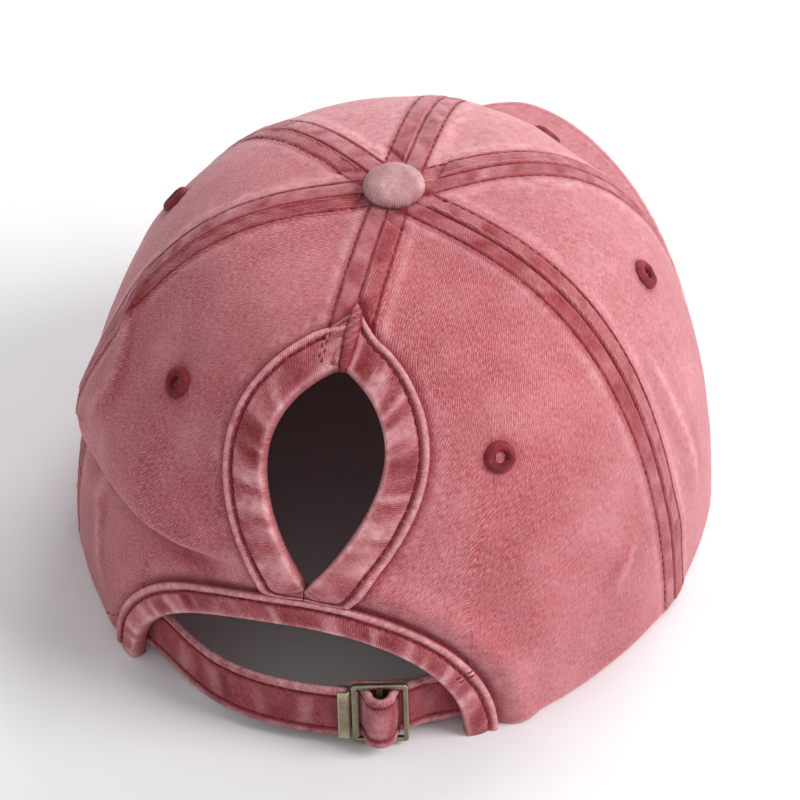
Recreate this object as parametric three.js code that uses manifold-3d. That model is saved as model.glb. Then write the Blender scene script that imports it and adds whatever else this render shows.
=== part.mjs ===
// Ponytail baseball cap, in millimetres, +Z up, front towards -Y, resting on its rim and peak.
// Azimuths are degrees from the middle of the back towards the wearer's right, which is -X.
// A share runs down the crown along its surface, from 0 at the top to 1 at the rim.
import * as THREE from 'three';
import { mergeVertices } from 'three/addons/utils/BufferGeometryUtils.js';
import Module from 'manifold-3d';

const manifoldLibrary = await Module();
manifoldLibrary.setup();

// Crown
const CROWN_HALF_WIDTH = 88;
const CROWN_FRONT_REACH = 94;
const CROWN_BACK_REACH = 100;
const CROWN_HEIGHT = 107;
const CROWN_SHOULDER = 3.4;
const CROWN_LEAN_RIGHT = 1.5;
const CLOTH = 1.2;
const GAP = 0.3;
const TOP_HOLE_RADIUS = 2;

// Seam bands
const BAND_HALF_WIDTH = 6.5;
const BAND_FLAT_SHARE = 0.7;
const BAND_RISE = 0.6;

// Button and eyelets
const BUTTON_DIAMETER = 16.5;
const BUTTON_HEIGHT = 4.6;
const EYELET_DIAMETER = 8;
const EYELET_HOLE_DIAMETER = 3.2;
const EYELET_SLEEVE_WALL = 1;
const EYELET_RISE = 1;
const EYELET_BEVEL = 0.4;

// Peak
const PEAK_THICKNESS = 3.2;
const PEAK_LENGTH = 67;
const PEAK_HALF_WIDTH = 75;
const PEAK_CENTRE_RISE = 18;
const PEAK_DROOP = 4;
const PEAK_OUTLINE_POWER = 1.6;
const PEAK_HALF_ANGLE = 57;
const PEAK_END_OVERHANG = 2;
const PEAK_EDGE_BEVEL = 0.8;
const PEAK_BEVEL_START = 0.9;
const PEAK_RUN_OUT = 9;

// Ponytail hole and its bindings
const HOLE_TOP_SHARE = 0.35;
const HOLE_WIDEST_SHARE = 0.5;
const HOLE_BOTTOM_SHARE = 0.7;
const HOLE_HALF_WIDTH = 15.8;
const HOLE_UPPER_POWER = 0.8;
const HOLE_LOWER_POWER = 1.7;
const BINDING_THICKNESS = 1;
const BINDING_GAP = 0.5;
const HOLE_BINDING_WIDTH = 11.2;
const HOLE_TIP_RISE = 6;

// Back arch and its binding
const ARCH_CENTRE = -0.5;
const ARCH_LEFT_HALF_WIDTH = 55;
const ARCH_RIGHT_HALF_WIDTH = 43;
const ARCH_HEIGHT = 38;
const ARCH_BINDING_WIDTH = 8.5;

// Strap and buckle
const STRAP_WIDTH = 16;
const STRAP_THICKNESS = 1.6;
const STRAP_CENTRE_HEIGHT = 11.3;
const STRAP_TAIL_LIFT = -1;
const BUCKLE_AZIMUTH = 13;
const BUCKLE_WIDTH = 15;
const BUCKLE_BAR = 1.4;
const BUCKLE_DEPTH = 1.6;
const BUCKLE_CLEARANCE = 0.5;
const CLAMP_WIDTH = 3.2;
const CLAMP_SHEET = 0.6;
const LOOP_RISE = 4.6;
const LEG_CLEARANCE = 9;

// Sweatband
const SWEATBAND_HEIGHT = 30;
const SWEATBAND_THICKNESS = 1;
const SWEATBAND_SETBACK = 0.6;
const SWEATBAND_GAP = 0.6;

// Seam azimuths at the top, half way down and at the rim
const SEAMS = {
  back: { top: 2.5, middle: 0.5, rim: -2 },
  rightRear: { top: 68, middle: 71.5, rim: 74 },
  rightFront: { top: 127, middle: 125, rim: 126 },
  front: { top: 180, middle: 180, rim: 180 },
  leftFront: { top: 235, middle: 236, rim: 234 },
  leftRear: { top: 287, middle: 290, rim: 290 },
};

// Soft folds and dents, by the azimuth and share of their middles. Lengths, breadths and lifts are
// shares of the crown's height, and the turn is the long way's angle from level.
const FOLDS = [
  { azimuth: -44, share: 0.65, half_length: 0.336, half_breadth: 0.121, turn: 0, lift: 0.0243 },
  { azimuth: -45, share: 0.775, half_length: 0.28, half_breadth: 0.131, turn: 0, lift: -0.0299 },
  { azimuth: -57, share: 0.83, half_length: 0.168, half_breadth: 0.103, turn: 90, lift: -0.014 },
  { azimuth: 84, share: 0.7, half_length: 0.28, half_breadth: 0.103, turn: 90, lift: -0.015 },
  { azimuth: 42, share: 0.86, half_length: 0.224, half_breadth: 0.121, turn: 90, lift: 0.0224 },
  { azimuth: 31, share: 0.63, half_length: 0.206, half_breadth: 0.093, turn: -8, lift: -0.0093 },
  { azimuth: -88, share: 0.8, half_length: 0.243, half_breadth: 0.112, turn: 70, lift: -0.0168 },
  { azimuth: 150, share: 0.55, half_length: 0.28, half_breadth: 0.131, turn: 60, lift: -0.015 },
  { azimuth: 212, share: 0.6, half_length: 0.28, half_breadth: 0.131, turn: -55, lift: -0.0131 },
];

const COLOURS = {
  twill: 0xb5636f,
  binding: 0xb8707c,
  strap: 0x9c4250,
  thread: 0x7c1f30,
  brass: 0x8d8360,
  lining: 0xb06a74,
};

const radians = THREE.MathUtils.degToRad;
const clamp = THREE.MathUtils.clamp;
const lerp = THREE.MathUtils.lerp;
const smoothstep = THREE.MathUtils.smoothstep;

// The crown's side profile as a table of surface length, radius share and height share
const PROFILE_STEPS = 400;
const profile = crownProfile();

function crownProfile() {
  const rows = [{ length: 0, radius: 0, height: 1 }];
  const reach = (CROWN_FRONT_REACH + CROWN_BACK_REACH + 2 * CROWN_HALF_WIDTH) / 4;
  for (let step = 1; step <= PROFILE_STEPS; step += 1) {
    const turn = (step / PROFILE_STEPS) * Math.PI / 2;
    const radius = Math.sin(turn) ** (2 / CROWN_SHOULDER);
    const height = Math.cos(turn);
    const last = rows[step - 1];
    const run = Math.hypot((radius - last.radius) * reach, (height - last.height) * CROWN_HEIGHT);
    rows.push({ length: last.length + run, radius, height });
  }
  return rows;
}

const CROWN_ARC = profile[PROFILE_STEPS].length;

// Reads one column of the profile where another column has a given value
function readProfile(known, value, wanted, falling) {
  let low = 0;
  let high = PROFILE_STEPS;
  while (high - low > 1) {
    const middle = (low + high) >> 1;
    const before = falling ? profile[middle][known] > value : profile[middle][known] < value;
    if (before) low = middle;
    else high = middle;
  }
  const a = profile[low];
  const b = profile[high];
  const part = (value - a[known]) / (b[known] - a[known]);
  return lerp(a[wanted], b[wanted], clamp(part, 0, 1));
}

function shareAtHeight(height) {
  return readProfile('height', height / CROWN_HEIGHT, 'length', true) / CROWN_ARC;
}

function shareAtRadius(radius) {
  return readProfile('radius', radius / CROWN_HALF_WIDTH, 'length', false) / CROWN_ARC;
}

// The plain crown surface, before folds
function plainCrown(azimuth, share) {
  const radius = readProfile('length', share * CROWN_ARC, 'radius', false);
  const height = readProfile('length', share * CROWN_ARC, 'height', false);
  const turn = radians(azimuth);
  const reach = Math.cos(turn) > 0 ? CROWN_BACK_REACH : CROWN_FRONT_REACH;
  return new THREE.Vector3(
    -Math.sin(turn) * CROWN_HALF_WIDTH * radius - CROWN_LEAN_RIGHT * height,
    Math.cos(turn) * reach * radius,
    height * CROWN_HEIGHT,
  );
}

function normalOf(surface, azimuth, share) {
  const turn = 0.4;
  const step = 0.003;
  const low = clamp(share - step, 0, 1);
  const high = clamp(share + step, 0, 1);
  const across = surface(azimuth + turn, share).sub(surface(azimuth - turn, share));
  const down = surface(azimuth, high).sub(surface(azimuth, low));
  return down.cross(across).normalize();
}

// Millimetres per degree along a level line of the crown
function millimetresPerDegree(azimuth, share) {
  return plainCrown(azimuth + 0.5, share).distanceTo(plainCrown(azimuth - 0.5, share));
}

function nearestTurn(azimuth) {
  return THREE.MathUtils.euclideanModulo(azimuth + 180, 360) - 180;
}

function foldLift(azimuth, share) {
  let lift = 0;
  for (const fold of FOLDS) {
    const scale = millimetresPerDegree(fold.azimuth, fold.share);
    const across = nearestTurn(azimuth - fold.azimuth) * scale;
    const down = (share - fold.share) * CROWN_ARC;
    const turn = radians(fold.turn);
    const along = (across * Math.cos(turn) + down * Math.sin(turn)) / (fold.half_length * CROWN_HEIGHT);
    const beside = (down * Math.cos(turn) - across * Math.sin(turn)) / (fold.half_breadth * CROWN_HEIGHT);
    lift += fold.lift * CROWN_HEIGHT * Math.exp(-along * along - beside * beside);
  }
  return lift;
}

// The crown's outer cloth surface with its folds
function foldedCrown(azimuth, share) {
  const point = plainCrown(azimuth, share);
  return point.addScaledVector(normalOf(plainCrown, azimuth, share), foldLift(azimuth, share));
}

// A point at a height above the folded cloth
function onCrown(azimuth, share, height) {
  const point = foldedCrown(azimuth, share);
  return point.addScaledVector(normalOf(foldedCrown, azimuth, share), height);
}

function seamAzimuth(seam, share) {
  const top = 2 * (share - 0.5) * (share - 1);
  const middle = 4 * share * (1 - share);
  const rim = 2 * share * (share - 0.5);
  return seam.top * top + seam.middle * middle + seam.rim * rim;
}

// Peak surface height over the plan, at its top face
function peakTop(x, y) {
  const bend = (x / PEAK_HALF_WIDTH) ** 2;
  const forward = Math.max(0, -y - rimReachAt(x)) / PEAK_LENGTH;
  return PEAK_THICKNESS + PEAK_CENTRE_RISE * (1 - bend) - PEAK_DROOP * forward;
}

function rimReachAt(x) {
  const share = clamp(x / CROWN_HALF_WIDTH, -1, 1);
  return CROWN_FRONT_REACH * Math.sqrt(1 - share * share);
}

// Height of the crown's lower edge: level at the sides and back, over the peak at the front
function rimHeight(azimuth) {
  const fromFront = Math.abs(nearestTurn(azimuth - 180));
  const seat = onCrownPlan(Math.min(fromFront, PEAK_HALF_ANGLE));
  const over = peakTop(seat.x, seat.y) + GAP;
  return over * (1 - smoothstep(fromFront, PEAK_HALF_ANGLE, PEAK_HALF_ANGLE + PEAK_RUN_OUT));
}

// The inner corner of the crown wall at the rim, as a plan position
function onCrownPlan(fromFront) {
  const turn = radians(fromFront);
  return {
    x: Math.sin(turn) * (CROWN_HALF_WIDTH - CLOTH),
    y: -Math.cos(turn) * (CROWN_FRONT_REACH - CLOTH),
  };
}

function rimShare(azimuth) {
  return shareAtHeight(rimHeight(azimuth));
}

// Half width in mm of the ponytail hole at a share, at the visible edge of its bindings
function holeHalfWidth(share) {
  if (share <= HOLE_TOP_SHARE || share >= HOLE_BOTTOM_SHARE) return 0;
  if (share < HOLE_WIDEST_SHARE) {
    const rise = (HOLE_WIDEST_SHARE - share) / (HOLE_WIDEST_SHARE - HOLE_TOP_SHARE);
    return HOLE_HALF_WIDTH * (1 - rise ** 2) ** HOLE_UPPER_POWER;
  }
  const fall = (share - HOLE_WIDEST_SHARE) / (HOLE_BOTTOM_SHARE - HOLE_WIDEST_SHARE);
  return HOLE_HALF_WIDTH * (1 - fall ** HOLE_LOWER_POWER);
}

// The arch's visible edge: two quarter ellipses, by a turn from -90 at the left leg to 90 at the right
function archEdge(turn, outward) {
  const half = turn < 0 ? ARCH_LEFT_HALF_WIDTH : ARCH_RIGHT_HALF_WIDTH;
  const across = (half + outward) * Math.sin(radians(turn));
  const up = (ARCH_HEIGHT + outward) * Math.cos(radians(turn));
  return { azimuth: ARCH_CENTRE + across / millimetresPerDegree(ARCH_CENTRE, 1), share: 1 - up / CROWN_ARC };
}

// Share of the arch's edge above an azimuth, or the rim beyond its legs
function archShare(azimuth, outward) {
  const half = (azimuth < ARCH_CENTRE ? ARCH_LEFT_HALF_WIDTH : ARCH_RIGHT_HALF_WIDTH) + outward;
  const across = (azimuth - ARCH_CENTRE) * millimetresPerDegree(ARCH_CENTRE, 1) / half;
  if (Math.abs(across) >= 1) return 1;
  return 1 - (ARCH_HEIGHT + outward) * Math.sqrt(1 - across * across) / CROWN_ARC;
}

// Geometry helpers

function pushPoint(positions, point) {
  positions.push(point.x, point.y, point.z);
  return positions.length / 3 - 1;
}

function signedVolume(positions, indices) {
  const a = new THREE.Vector3();
  const b = new THREE.Vector3();
  const c = new THREE.Vector3();
  let volume = 0;
  for (let face = 0; face < indices.length; face += 3) {
    a.fromArray(positions, indices[face] * 3);
    b.fromArray(positions, indices[face + 1] * 3);
    c.fromArray(positions, indices[face + 2] * 3);
    volume += a.dot(b.cross(c));
  }
  return volume;
}

// A geometry whose faces point out, whatever way round its grid was made
function closedGeometry(positions, indices) {
  if (signedVolume(positions, indices) < 0) {
    for (let face = 0; face < indices.length; face += 3) {
      [indices[face + 1], indices[face + 2]] = [indices[face + 2], indices[face + 1]];
    }
  }
  const geometry = new THREE.BufferGeometry();
  geometry.setAttribute('position', new THREE.Float32BufferAttribute(positions, 3));
  geometry.setIndex(indices);
  return geometry;
}

// A slab between two grids of points with the same rows and columns
function slab(upper, lower) {
  const rows = upper.length;
  const columns = upper[0].length;
  const positions = [];
  const indices = [];
  const top = upper.map((row) => row.map((point) => pushPoint(positions, point)));
  const under = lower.map((row) => row.map((point) => pushPoint(positions, point)));
  const quad = (a, b, c, d) => indices.push(a, b, c, a, c, d);
  for (let row = 0; row < rows - 1; row += 1) {
    for (let column = 0; column < columns - 1; column += 1) {
      quad(top[row][column], top[row][column + 1], top[row + 1][column + 1], top[row + 1][column]);
      quad(under[row][column], under[row + 1][column], under[row + 1][column + 1], under[row][column + 1]);
    }
    const last = columns - 1;
    quad(top[row][0], top[row + 1][0], under[row + 1][0], under[row][0]);
    quad(top[row][last], under[row][last], under[row + 1][last], top[row + 1][last]);
  }
  for (let column = 0; column < columns - 1; column += 1) {
    const end = rows - 1;
    quad(top[0][column], under[0][column], under[0][column + 1], top[0][column + 1]);
    quad(top[end][column], top[end][column + 1], under[end][column + 1], under[end][column]);
  }
  return closedGeometry(positions, indices);
}

// A bar swept through rings of points, its ends closed by the flat section's own triangles
function sweptBar(rings, section) {
  const positions = [];
  const indices = [];
  const count = section.length;
  const corners = rings.map((ring) => ring.map((point) => pushPoint(positions, point)));
  for (let step = 0; step < corners.length - 1; step += 1) {
    for (let side = 0; side < count; side += 1) {
      const next = (side + 1) % count;
      const a = corners[step][side];
      const b = corners[step][next];
      const c = corners[step + 1][next];
      const d = corners[step + 1][side];
      indices.push(a, b, c, a, c, d);
    }
  }
  const flat = section.map(([across, height]) => new THREE.Vector2(across, height));
  const first = corners[0];
  const last = corners[corners.length - 1];
  const anticlockwise = THREE.ShapeUtils.area(flat) > 0;
  for (const [a, b, c] of THREE.ShapeUtils.triangulateShape(flat, [])) {
    const [p, q] = anticlockwise ? [b, c] : [c, b];
    indices.push(first[a], first[q], first[p]);
    indices.push(last[a], last[p], last[q]);
  }
  return closedGeometry(positions, indices);
}

function toManifold(geometry) {
  const bare = geometry.clone();
  bare.deleteAttribute('normal');
  bare.deleteAttribute('uv');
  const merged = mergeVertices(bare, 1e-4);
  return new manifoldLibrary.Manifold(new manifoldLibrary.Mesh({
    numProp: 3,
    vertProperties: new Float32Array(merged.attributes.position.array),
    triVerts: new Uint32Array(merged.index.array),
  }));
}

function fromManifold(solid) {
  const mesh = solid.getMesh();
  const geometry = new THREE.BufferGeometry();
  geometry.setAttribute('position', new THREE.Float32BufferAttribute(mesh.vertProperties, 3));
  geometry.setIndex(Array.from(mesh.triVerts));
  return geometry;
}

function fusedGeometry(geometries) {
  return fromManifold(geometries.map(toManifold).reduce((whole, next) => whole.add(next)));
}

// Crown panels

// Rise of the seam bands over the cloth, by the distance to a seam line
function bandRise(distance, share, isBackSeam) {
  const fade = isBackSeam ? 1 - smoothstep(share, BACK_BAND_END - BACK_BAND_FADE, BACK_BAND_END) : 1;
  return BAND_RISE * fade * (1 - smoothstep(distance, BAND_HALF_WIDTH * BAND_FLAT_SHARE, BAND_HALF_WIDTH));
}

// The back seam's band ends where the hole's bindings begin
const BACK_BAND_END = HOLE_TOP_SHARE - (HOLE_BINDING_WIDTH + HOLE_TIP_RISE + BAND_HALF_WIDTH) / CROWN_ARC;
const BACK_BAND_FADE = BAND_HALF_WIDTH / CROWN_ARC;

// Even columns with extra ones along the two seam bands, as shares of a panel's width at its rim
const BAND_COLUMNS = [0, 0.035, 0.07, 0.1];
const MIDDLE_COLUMNS = 6;
function panelColumns() {
  const columns = [...BAND_COLUMNS];
  const first = BAND_COLUMNS[BAND_COLUMNS.length - 1];
  for (let column = 1; column < MIDDLE_COLUMNS; column += 1) {
    columns.push(lerp(first, 1 - first, column / MIDDLE_COLUMNS));
  }
  return columns.concat(BAND_COLUMNS.map((share) => 1 - share).reverse());
}

const PANEL_ROWS = 15;
const TOP_SHARE = shareAtRadius(TOP_HOLE_RADIUS);

// One panel's azimuths at a share, kept half a gap inside each seam line
function panelAzimuth(from, to, column, share) {
  const a = seamAzimuth(from, share);
  const b = seamAzimuth(to, share) + (to === SEAMS.back ? 360 : 0);
  const trim = GAP / 2 / millimetresPerDegree(a, share);
  return lerp(a + trim, b - trim, column);
}

// Height of the outer cloth over the crown surface at a place in a panel
function panelRise(from, to, azimuth, share) {
  const scale = millimetresPerDegree(azimuth, share);
  const a = Math.abs(nearestTurn(azimuth - seamAzimuth(from, share))) * scale;
  const b = Math.abs(nearestTurn(azimuth - seamAzimuth(to, share))) * scale;
  return Math.max(
    bandRise(a, share, from === SEAMS.back),
    bandRise(b, share, to === SEAMS.back),
  );
}

function panelFromGrid(from, to, places) {
  const outer = places.map((row) => row.map(({ azimuth, share }) => (
    onCrown(azimuth, share, panelRise(from, to, azimuth, share)))));
  const inner = places.map((row) => row.map(({ azimuth, share }) => onCrown(azimuth, share, -CLOTH)));
  levelRim(places, outer, inner);
  return slab(outer, inner);
}

// The rim's underside lies level, so that the cap stands flat
function levelRim(places, outer, inner) {
  const last = places.length - 1;
  places[last].forEach(({ azimuth, share }, column) => {
    if (share < rimShare(azimuth) - 1e-6) return;
    outer[last][column].z = rimHeight(azimuth);
    inner[last][column].z = rimHeight(azimuth);
  });
}

function plainPanel(from, to) {
  const places = [];
  for (let row = 0; row <= PANEL_ROWS; row += 1) {
    places.push(panelColumns().map((column) => {
      const foot = rimShare(panelAzimuth(from, to, column, 1));
      const share = lerp(TOP_SHARE, foot, row / PANEL_ROWS);
      return { azimuth: panelAzimuth(from, to, column, share), share };
    }));
  }
  return panelFromGrid(from, to, places);
}

// Stops along the hole's edge, as parts of its height: the cloth and its bindings share them
const HOLE_STOPS = [0.02, 0.07, 0.15, 0.26, 0.38, 0.5, 0.62, 0.73, 0.83, 0.91, 0.97];
const CUT_INSET = BINDING_THICKNESS + BINDING_GAP;

// Rows of a back panel, as shares along the back seam: they meet the hole's two ends
function backPanelRows() {
  const rows = [TOP_SHARE, 0.08, 0.14, BACK_BAND_END, 0.245, 0.295];
  const top = HOLE_TOP_SHARE - CUT_INSET / CROWN_ARC;
  const bottom = HOLE_BOTTOM_SHARE + CUT_INSET / CROWN_ARC;
  rows.push(top);
  HOLE_STOPS.forEach((part) => rows.push(lerp(top, bottom, part)));
  rows.push(bottom);
  rows.push(archShare(seamAzimuth(SEAMS.back, 1), CUT_INSET));
  return rows;
}

// Half width of the cut in the cloth, a binding's fold wider than the hole one sees
function cutHalfWidth(share) {
  const top = HOLE_TOP_SHARE - CUT_INSET / CROWN_ARC;
  const bottom = HOLE_BOTTOM_SHARE + CUT_INSET / CROWN_ARC;
  if (share <= top || share >= bottom) return GAP / 2;
  const part = (share - top) / (bottom - top);
  const seen = lerp(HOLE_TOP_SHARE, HOLE_BOTTOM_SHARE, part);
  return Math.max(GAP / 2, holeHalfWidth(seen) + CUT_INSET * Math.sqrt(Math.sin(part * Math.PI)));
}

// Stops along one half of the arch, in degrees of its ellipse: the cloth and its binding share them
const ARCH_STOPS = [0, 13, 26, 38, 49, 59, 68, 76, 83, 90];
const BEYOND_ARCH = [0.16, 0.34, 0.52, 0.7, 0.8, 0.87, 0.93, 1];

// Columns of a back panel: along the arch's quarter ellipse, then on to the side seam
function backPanelColumns(side) {
  const feet = ARCH_STOPS.map((turn) => archEdge(side * turn, CUT_INSET).azimuth);
  feet[0] = seamAzimuth(SEAMS.back, archShare(feet[0], CUT_INSET));
  const leg = feet[feet.length - 1];
  const end = backPanelEdges(side, 1).outer;
  BEYOND_ARCH.forEach((part) => feet.push(lerp(leg, end, part)));
  return feet.map((azimuth, index) => {
    const beyond = index >= ARCH_STOPS.length - 1;
    const foot = beyond ? 1 : archShare(azimuth, CUT_INSET);
    const { inner, outer } = backPanelEdges(side, foot);
    return { column: clamp((azimuth - inner) / (outer - inner), 0, 1), foot };
  });
}

// A back panel's two edges at a share: the hole or back seam, and the side seam
function backPanelEdges(side, share) {
  const seam = side > 0 ? SEAMS.rightRear : SEAMS.leftRear;
  const scale = millimetresPerDegree(0, share);
  return {
    inner: seamAzimuth(SEAMS.back, share) + side * cutHalfWidth(share) / scale,
    outer: nearestTurn(seamAzimuth(seam, share)) - side * GAP / 2 / scale,
  };
}

function backPanel(side) {
  const rows = backPanelRows();
  const lowest = rows[rows.length - 1];
  const columns = backPanelColumns(side);
  const places = rows.map((seamShare) => columns.map(({ column, foot }) => {
    const share = lerp(TOP_SHARE, foot, (seamShare - TOP_SHARE) / (lowest - TOP_SHARE));
    const { inner, outer } = backPanelEdges(side, share);
    return { azimuth: lerp(inner, outer, column), share };
  }));
  return panelFromGrid(SEAMS.back, side > 0 ? SEAMS.rightRear : SEAMS.leftRear, places);
}

// Eyelets

// Each eyelet's panel by its two seams, its part of the way between them, and its share
const EYELETS = [
  { name: 'back_right', from: SEAMS.back, to: SEAMS.rightRear, part: 0.53, share: 0.515 },
  { name: 'side_right', from: SEAMS.rightRear, to: SEAMS.rightFront, part: 0.5, share: 0.475 },
  { name: 'front_right', from: SEAMS.rightFront, to: SEAMS.front, part: 0.55, share: 0.475 },
  { name: 'front_left', from: SEAMS.front, to: SEAMS.leftFront, part: 0.5, share: 0.5 },
  { name: 'side_left', from: SEAMS.leftFront, to: SEAMS.leftRear, part: 0.48, share: 0.45 },
  { name: 'back_left', from: SEAMS.leftRear, to: SEAMS.back, part: 0.42, share: 0.48 },
];
const EYELET_SIDES = 12;
const SLEEVE_RADIUS = EYELET_HOLE_DIAMETER / 2 + EYELET_SLEEVE_WALL;

function eyeletPlace({ from, to, part, share }) {
  const a = seamAzimuth(from, share);
  const b = seamAzimuth(to, share) + (to === SEAMS.back ? 360 : 0);
  return { azimuth: lerp(a, b, part), share };
}

// Stands a shape made along +Y on the cloth at an eyelet
function standOnCrown(geometry, eyelet) {
  const { azimuth, share } = eyeletPlace(eyelet);
  const normal = normalOf(foldedCrown, azimuth, share);
  const turn = new THREE.Quaternion().setFromUnitVectors(new THREE.Vector3(0, 1, 0), normal);
  const seat = foldedCrown(azimuth, share);
  return geometry.applyQuaternion(turn).translate(seat.x, seat.y, seat.z);
}

function eyeletGeometry(eyelet) {
  const inner = EYELET_HOLE_DIAMETER / 2;
  const outer = EYELET_DIAMETER / 2;
  const seat = GAP + flatness(outer);
  const outline = [
    [inner, -CLOTH], [SLEEVE_RADIUS, -CLOTH], [SLEEVE_RADIUS, seat], [outer, seat],
    [outer - EYELET_BEVEL, seat + EYELET_RISE * 0.7], [(inner + outer) / 2, seat + EYELET_RISE],
    [inner, seat + EYELET_RISE * 0.6], [inner, -CLOTH],
  ];
  const ring = new THREE.LatheGeometry(outline.map(([x, y]) => new THREE.Vector2(x, y)), EYELET_SIDES);
  return standOnCrown(ring, eyelet);
}

// How far a flat disc of a radius stands off the crown at its edge
function flatness(radius) {
  return radius * radius / (2 * CROWN_HALF_WIDTH);
}

function eyeletHole(eyelet) {
  const radius = SLEEVE_RADIUS + GAP;
  const drill = new THREE.CylinderGeometry(radius, radius, 8 * CLOTH, EYELET_SIDES);
  return standOnCrown(drill, eyelet);
}

function panelWithEyelet(panel, eyelet) {
  return fromManifold(toManifold(panel).subtract(toManifold(eyeletHole(eyelet))));
}

// Button: a flat-bottomed dome with a rounded edge
function buttonGeometry() {
  const radius = BUTTON_DIAMETER / 2;
  const outline = [
    [0, 0], [radius * 0.9, 0], [radius, BUTTON_HEIGHT * 0.22], [radius, BUTTON_HEIGHT * 0.45],
    [radius * 0.9, BUTTON_HEIGHT * 0.72], [radius * 0.62, BUTTON_HEIGHT * 0.93], [0, BUTTON_HEIGHT],
  ];
  const dome = new THREE.LatheGeometry(outline.map(([x, y]) => new THREE.Vector2(x, y)), 20);
  const seat = CROWN_HEIGHT + BAND_RISE + GAP;
  return dome.rotateX(Math.PI / 2).translate(-CROWN_LEAN_RIGHT, 0, seat);
}

// Bindings

// Section of a tape folded over a cloth edge: across from its fold, and height over the cloth
function bindingSection(width) {
  const above = BINDING_GAP + BINDING_THICKNESS;
  const below = -CLOTH - above;
  return [
    [width, BINDING_GAP], [width, above], [width * 0.55, above], [0.5 * BINDING_THICKNESS, above],
    [0, -CLOTH / 2], [0.5 * BINDING_THICKNESS, below], [width * 0.55, below], [width, below],
    [width, -CLOTH - BINDING_GAP], [BINDING_THICKNESS, -CLOTH - BINDING_GAP],
    [BINDING_THICKNESS, BINDING_GAP], [width * 0.4, BINDING_GAP], [width * 0.7, BINDING_GAP],
  ];
}

// A folded tape along stations that each have a place at the fold and one at the outer edge
function bindingGeometry(stations, width) {
  const section = bindingSection(width);
  const rings = stations.map(({ fold, edge }) => section.map(([across, height]) => {
    const part = across / width;
    const azimuth = lerp(fold.azimuth, edge.azimuth, part);
    const share = lerp(fold.share, edge.share, part);
    return onCrown(azimuth, share, height);
  }));
  return sweptBar(rings, section);
}

// Half a gap off the middle line keeps the two hole bindings apart
function holeEdge(side, share) {
  const scale = millimetresPerDegree(0, share);
  const half = Math.max(holeHalfWidth(share), GAP / 2);
  return { azimuth: seamAzimuth(SEAMS.back, share) + side * half / scale, share };
}

// A place beside the hole's edge, square to it, at a distance in mm
function besideHole(side, share, distance) {
  const step = 0.004;
  const scale = millimetresPerDegree(0, share);
  const a = holeEdge(side, share - step);
  const b = holeEdge(side, share + step);
  const across = (b.azimuth - a.azimuth) * scale;
  const down = (b.share - a.share) * CROWN_ARC;
  const size = Math.hypot(across, down);
  const edge = holeEdge(side, share);
  return {
    azimuth: edge.azimuth + side * distance * down / size / scale,
    share: edge.share - side * distance * across / size / CROWN_ARC,
  };
}

// Where the hole bindings end below, against the arch binding's upper edge
function archFloor(azimuth) {
  return archShare(azimuth, ARCH_BINDING_WIDTH + GAP);
}

function holeBindingStations(side) {
  const middle = (share) => seamAzimuth(SEAMS.back, share) + side * GAP / 2 / millimetresPerDegree(0, share);
  const tip = HOLE_TOP_SHARE - (HOLE_BINDING_WIDTH + (side > 0 ? HOLE_TIP_RISE : 0)) / CROWN_ARC;
  const stations = [{
    fold: { azimuth: middle(HOLE_TOP_SHARE), share: HOLE_TOP_SHARE },
    edge: { azimuth: middle(tip), share: tip },
  }];
  for (const part of HOLE_STOPS) {
    const share = lerp(HOLE_TOP_SHARE, HOLE_BOTTOM_SHARE, part);
    const edge = besideHole(side, share, HOLE_BINDING_WIDTH);
    edge.share = Math.min(edge.share, archFloor(edge.azimuth));
    stations.push({ fold: holeEdge(side, share), edge });
  }
  const foot = archFloor(middle(HOLE_BOTTOM_SHARE));
  stations.push({
    fold: { azimuth: middle(HOLE_BOTTOM_SHARE), share: HOLE_BOTTOM_SHARE },
    edge: { azimuth: middle(foot), share: foot },
  });
  return stations;
}

function archBindingStations() {
  const left = ARCH_STOPS.slice(1).map((turn) => -turn).reverse();
  return [...left, ...ARCH_STOPS].map((turn) => ({
    fold: archEdge(turn, 0),
    edge: archEdge(turn, ARCH_BINDING_WIDTH),
  }));
}

// Strap and buckle, in a frame that runs along the rim from the buckle's middle

function trackAzimuth(along) {
  return BUCKLE_AZIMUTH + along / millimetresPerDegree(BUCKLE_AZIMUTH, 1);
}

// A place on the strap's track: along the rim, out from the cloth and above the rim
function onTrack(along, out, height) {
  return onCrown(trackAzimuth(along), shareAtHeight(height), out);
}

const STRAP_DEPTH_AT_LEG = -CLOTH - BINDING_GAP - BINDING_THICKNESS - 2 * GAP - STRAP_THICKNESS / 2;
const BAR_UNDERSIDE = -BUCKLE_DEPTH / 2;
const UNDER_BAR = BAR_UNDERSIDE - BUCKLE_CLEARANCE - STRAP_THICKNESS / 2;
const TAIL_DEPTH = UNDER_BAR - STRAP_THICKNESS - 2 * GAP;
const BUCKLE_HALF = BUCKLE_WIDTH / 2;
const CLAMP_START = -BUCKLE_HALF - GAP;

// Distance along the rim from the buckle to an arch leg's visible edge
function legAlong(turn) {
  return (archEdge(turn, 0).azimuth - BUCKLE_AZIMUTH) * millimetresPerDegree(BUCKLE_AZIMUTH, 1);
}

const LEFT_LEG = legAlong(-90);
const RIGHT_LEG = legAlong(90);

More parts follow.
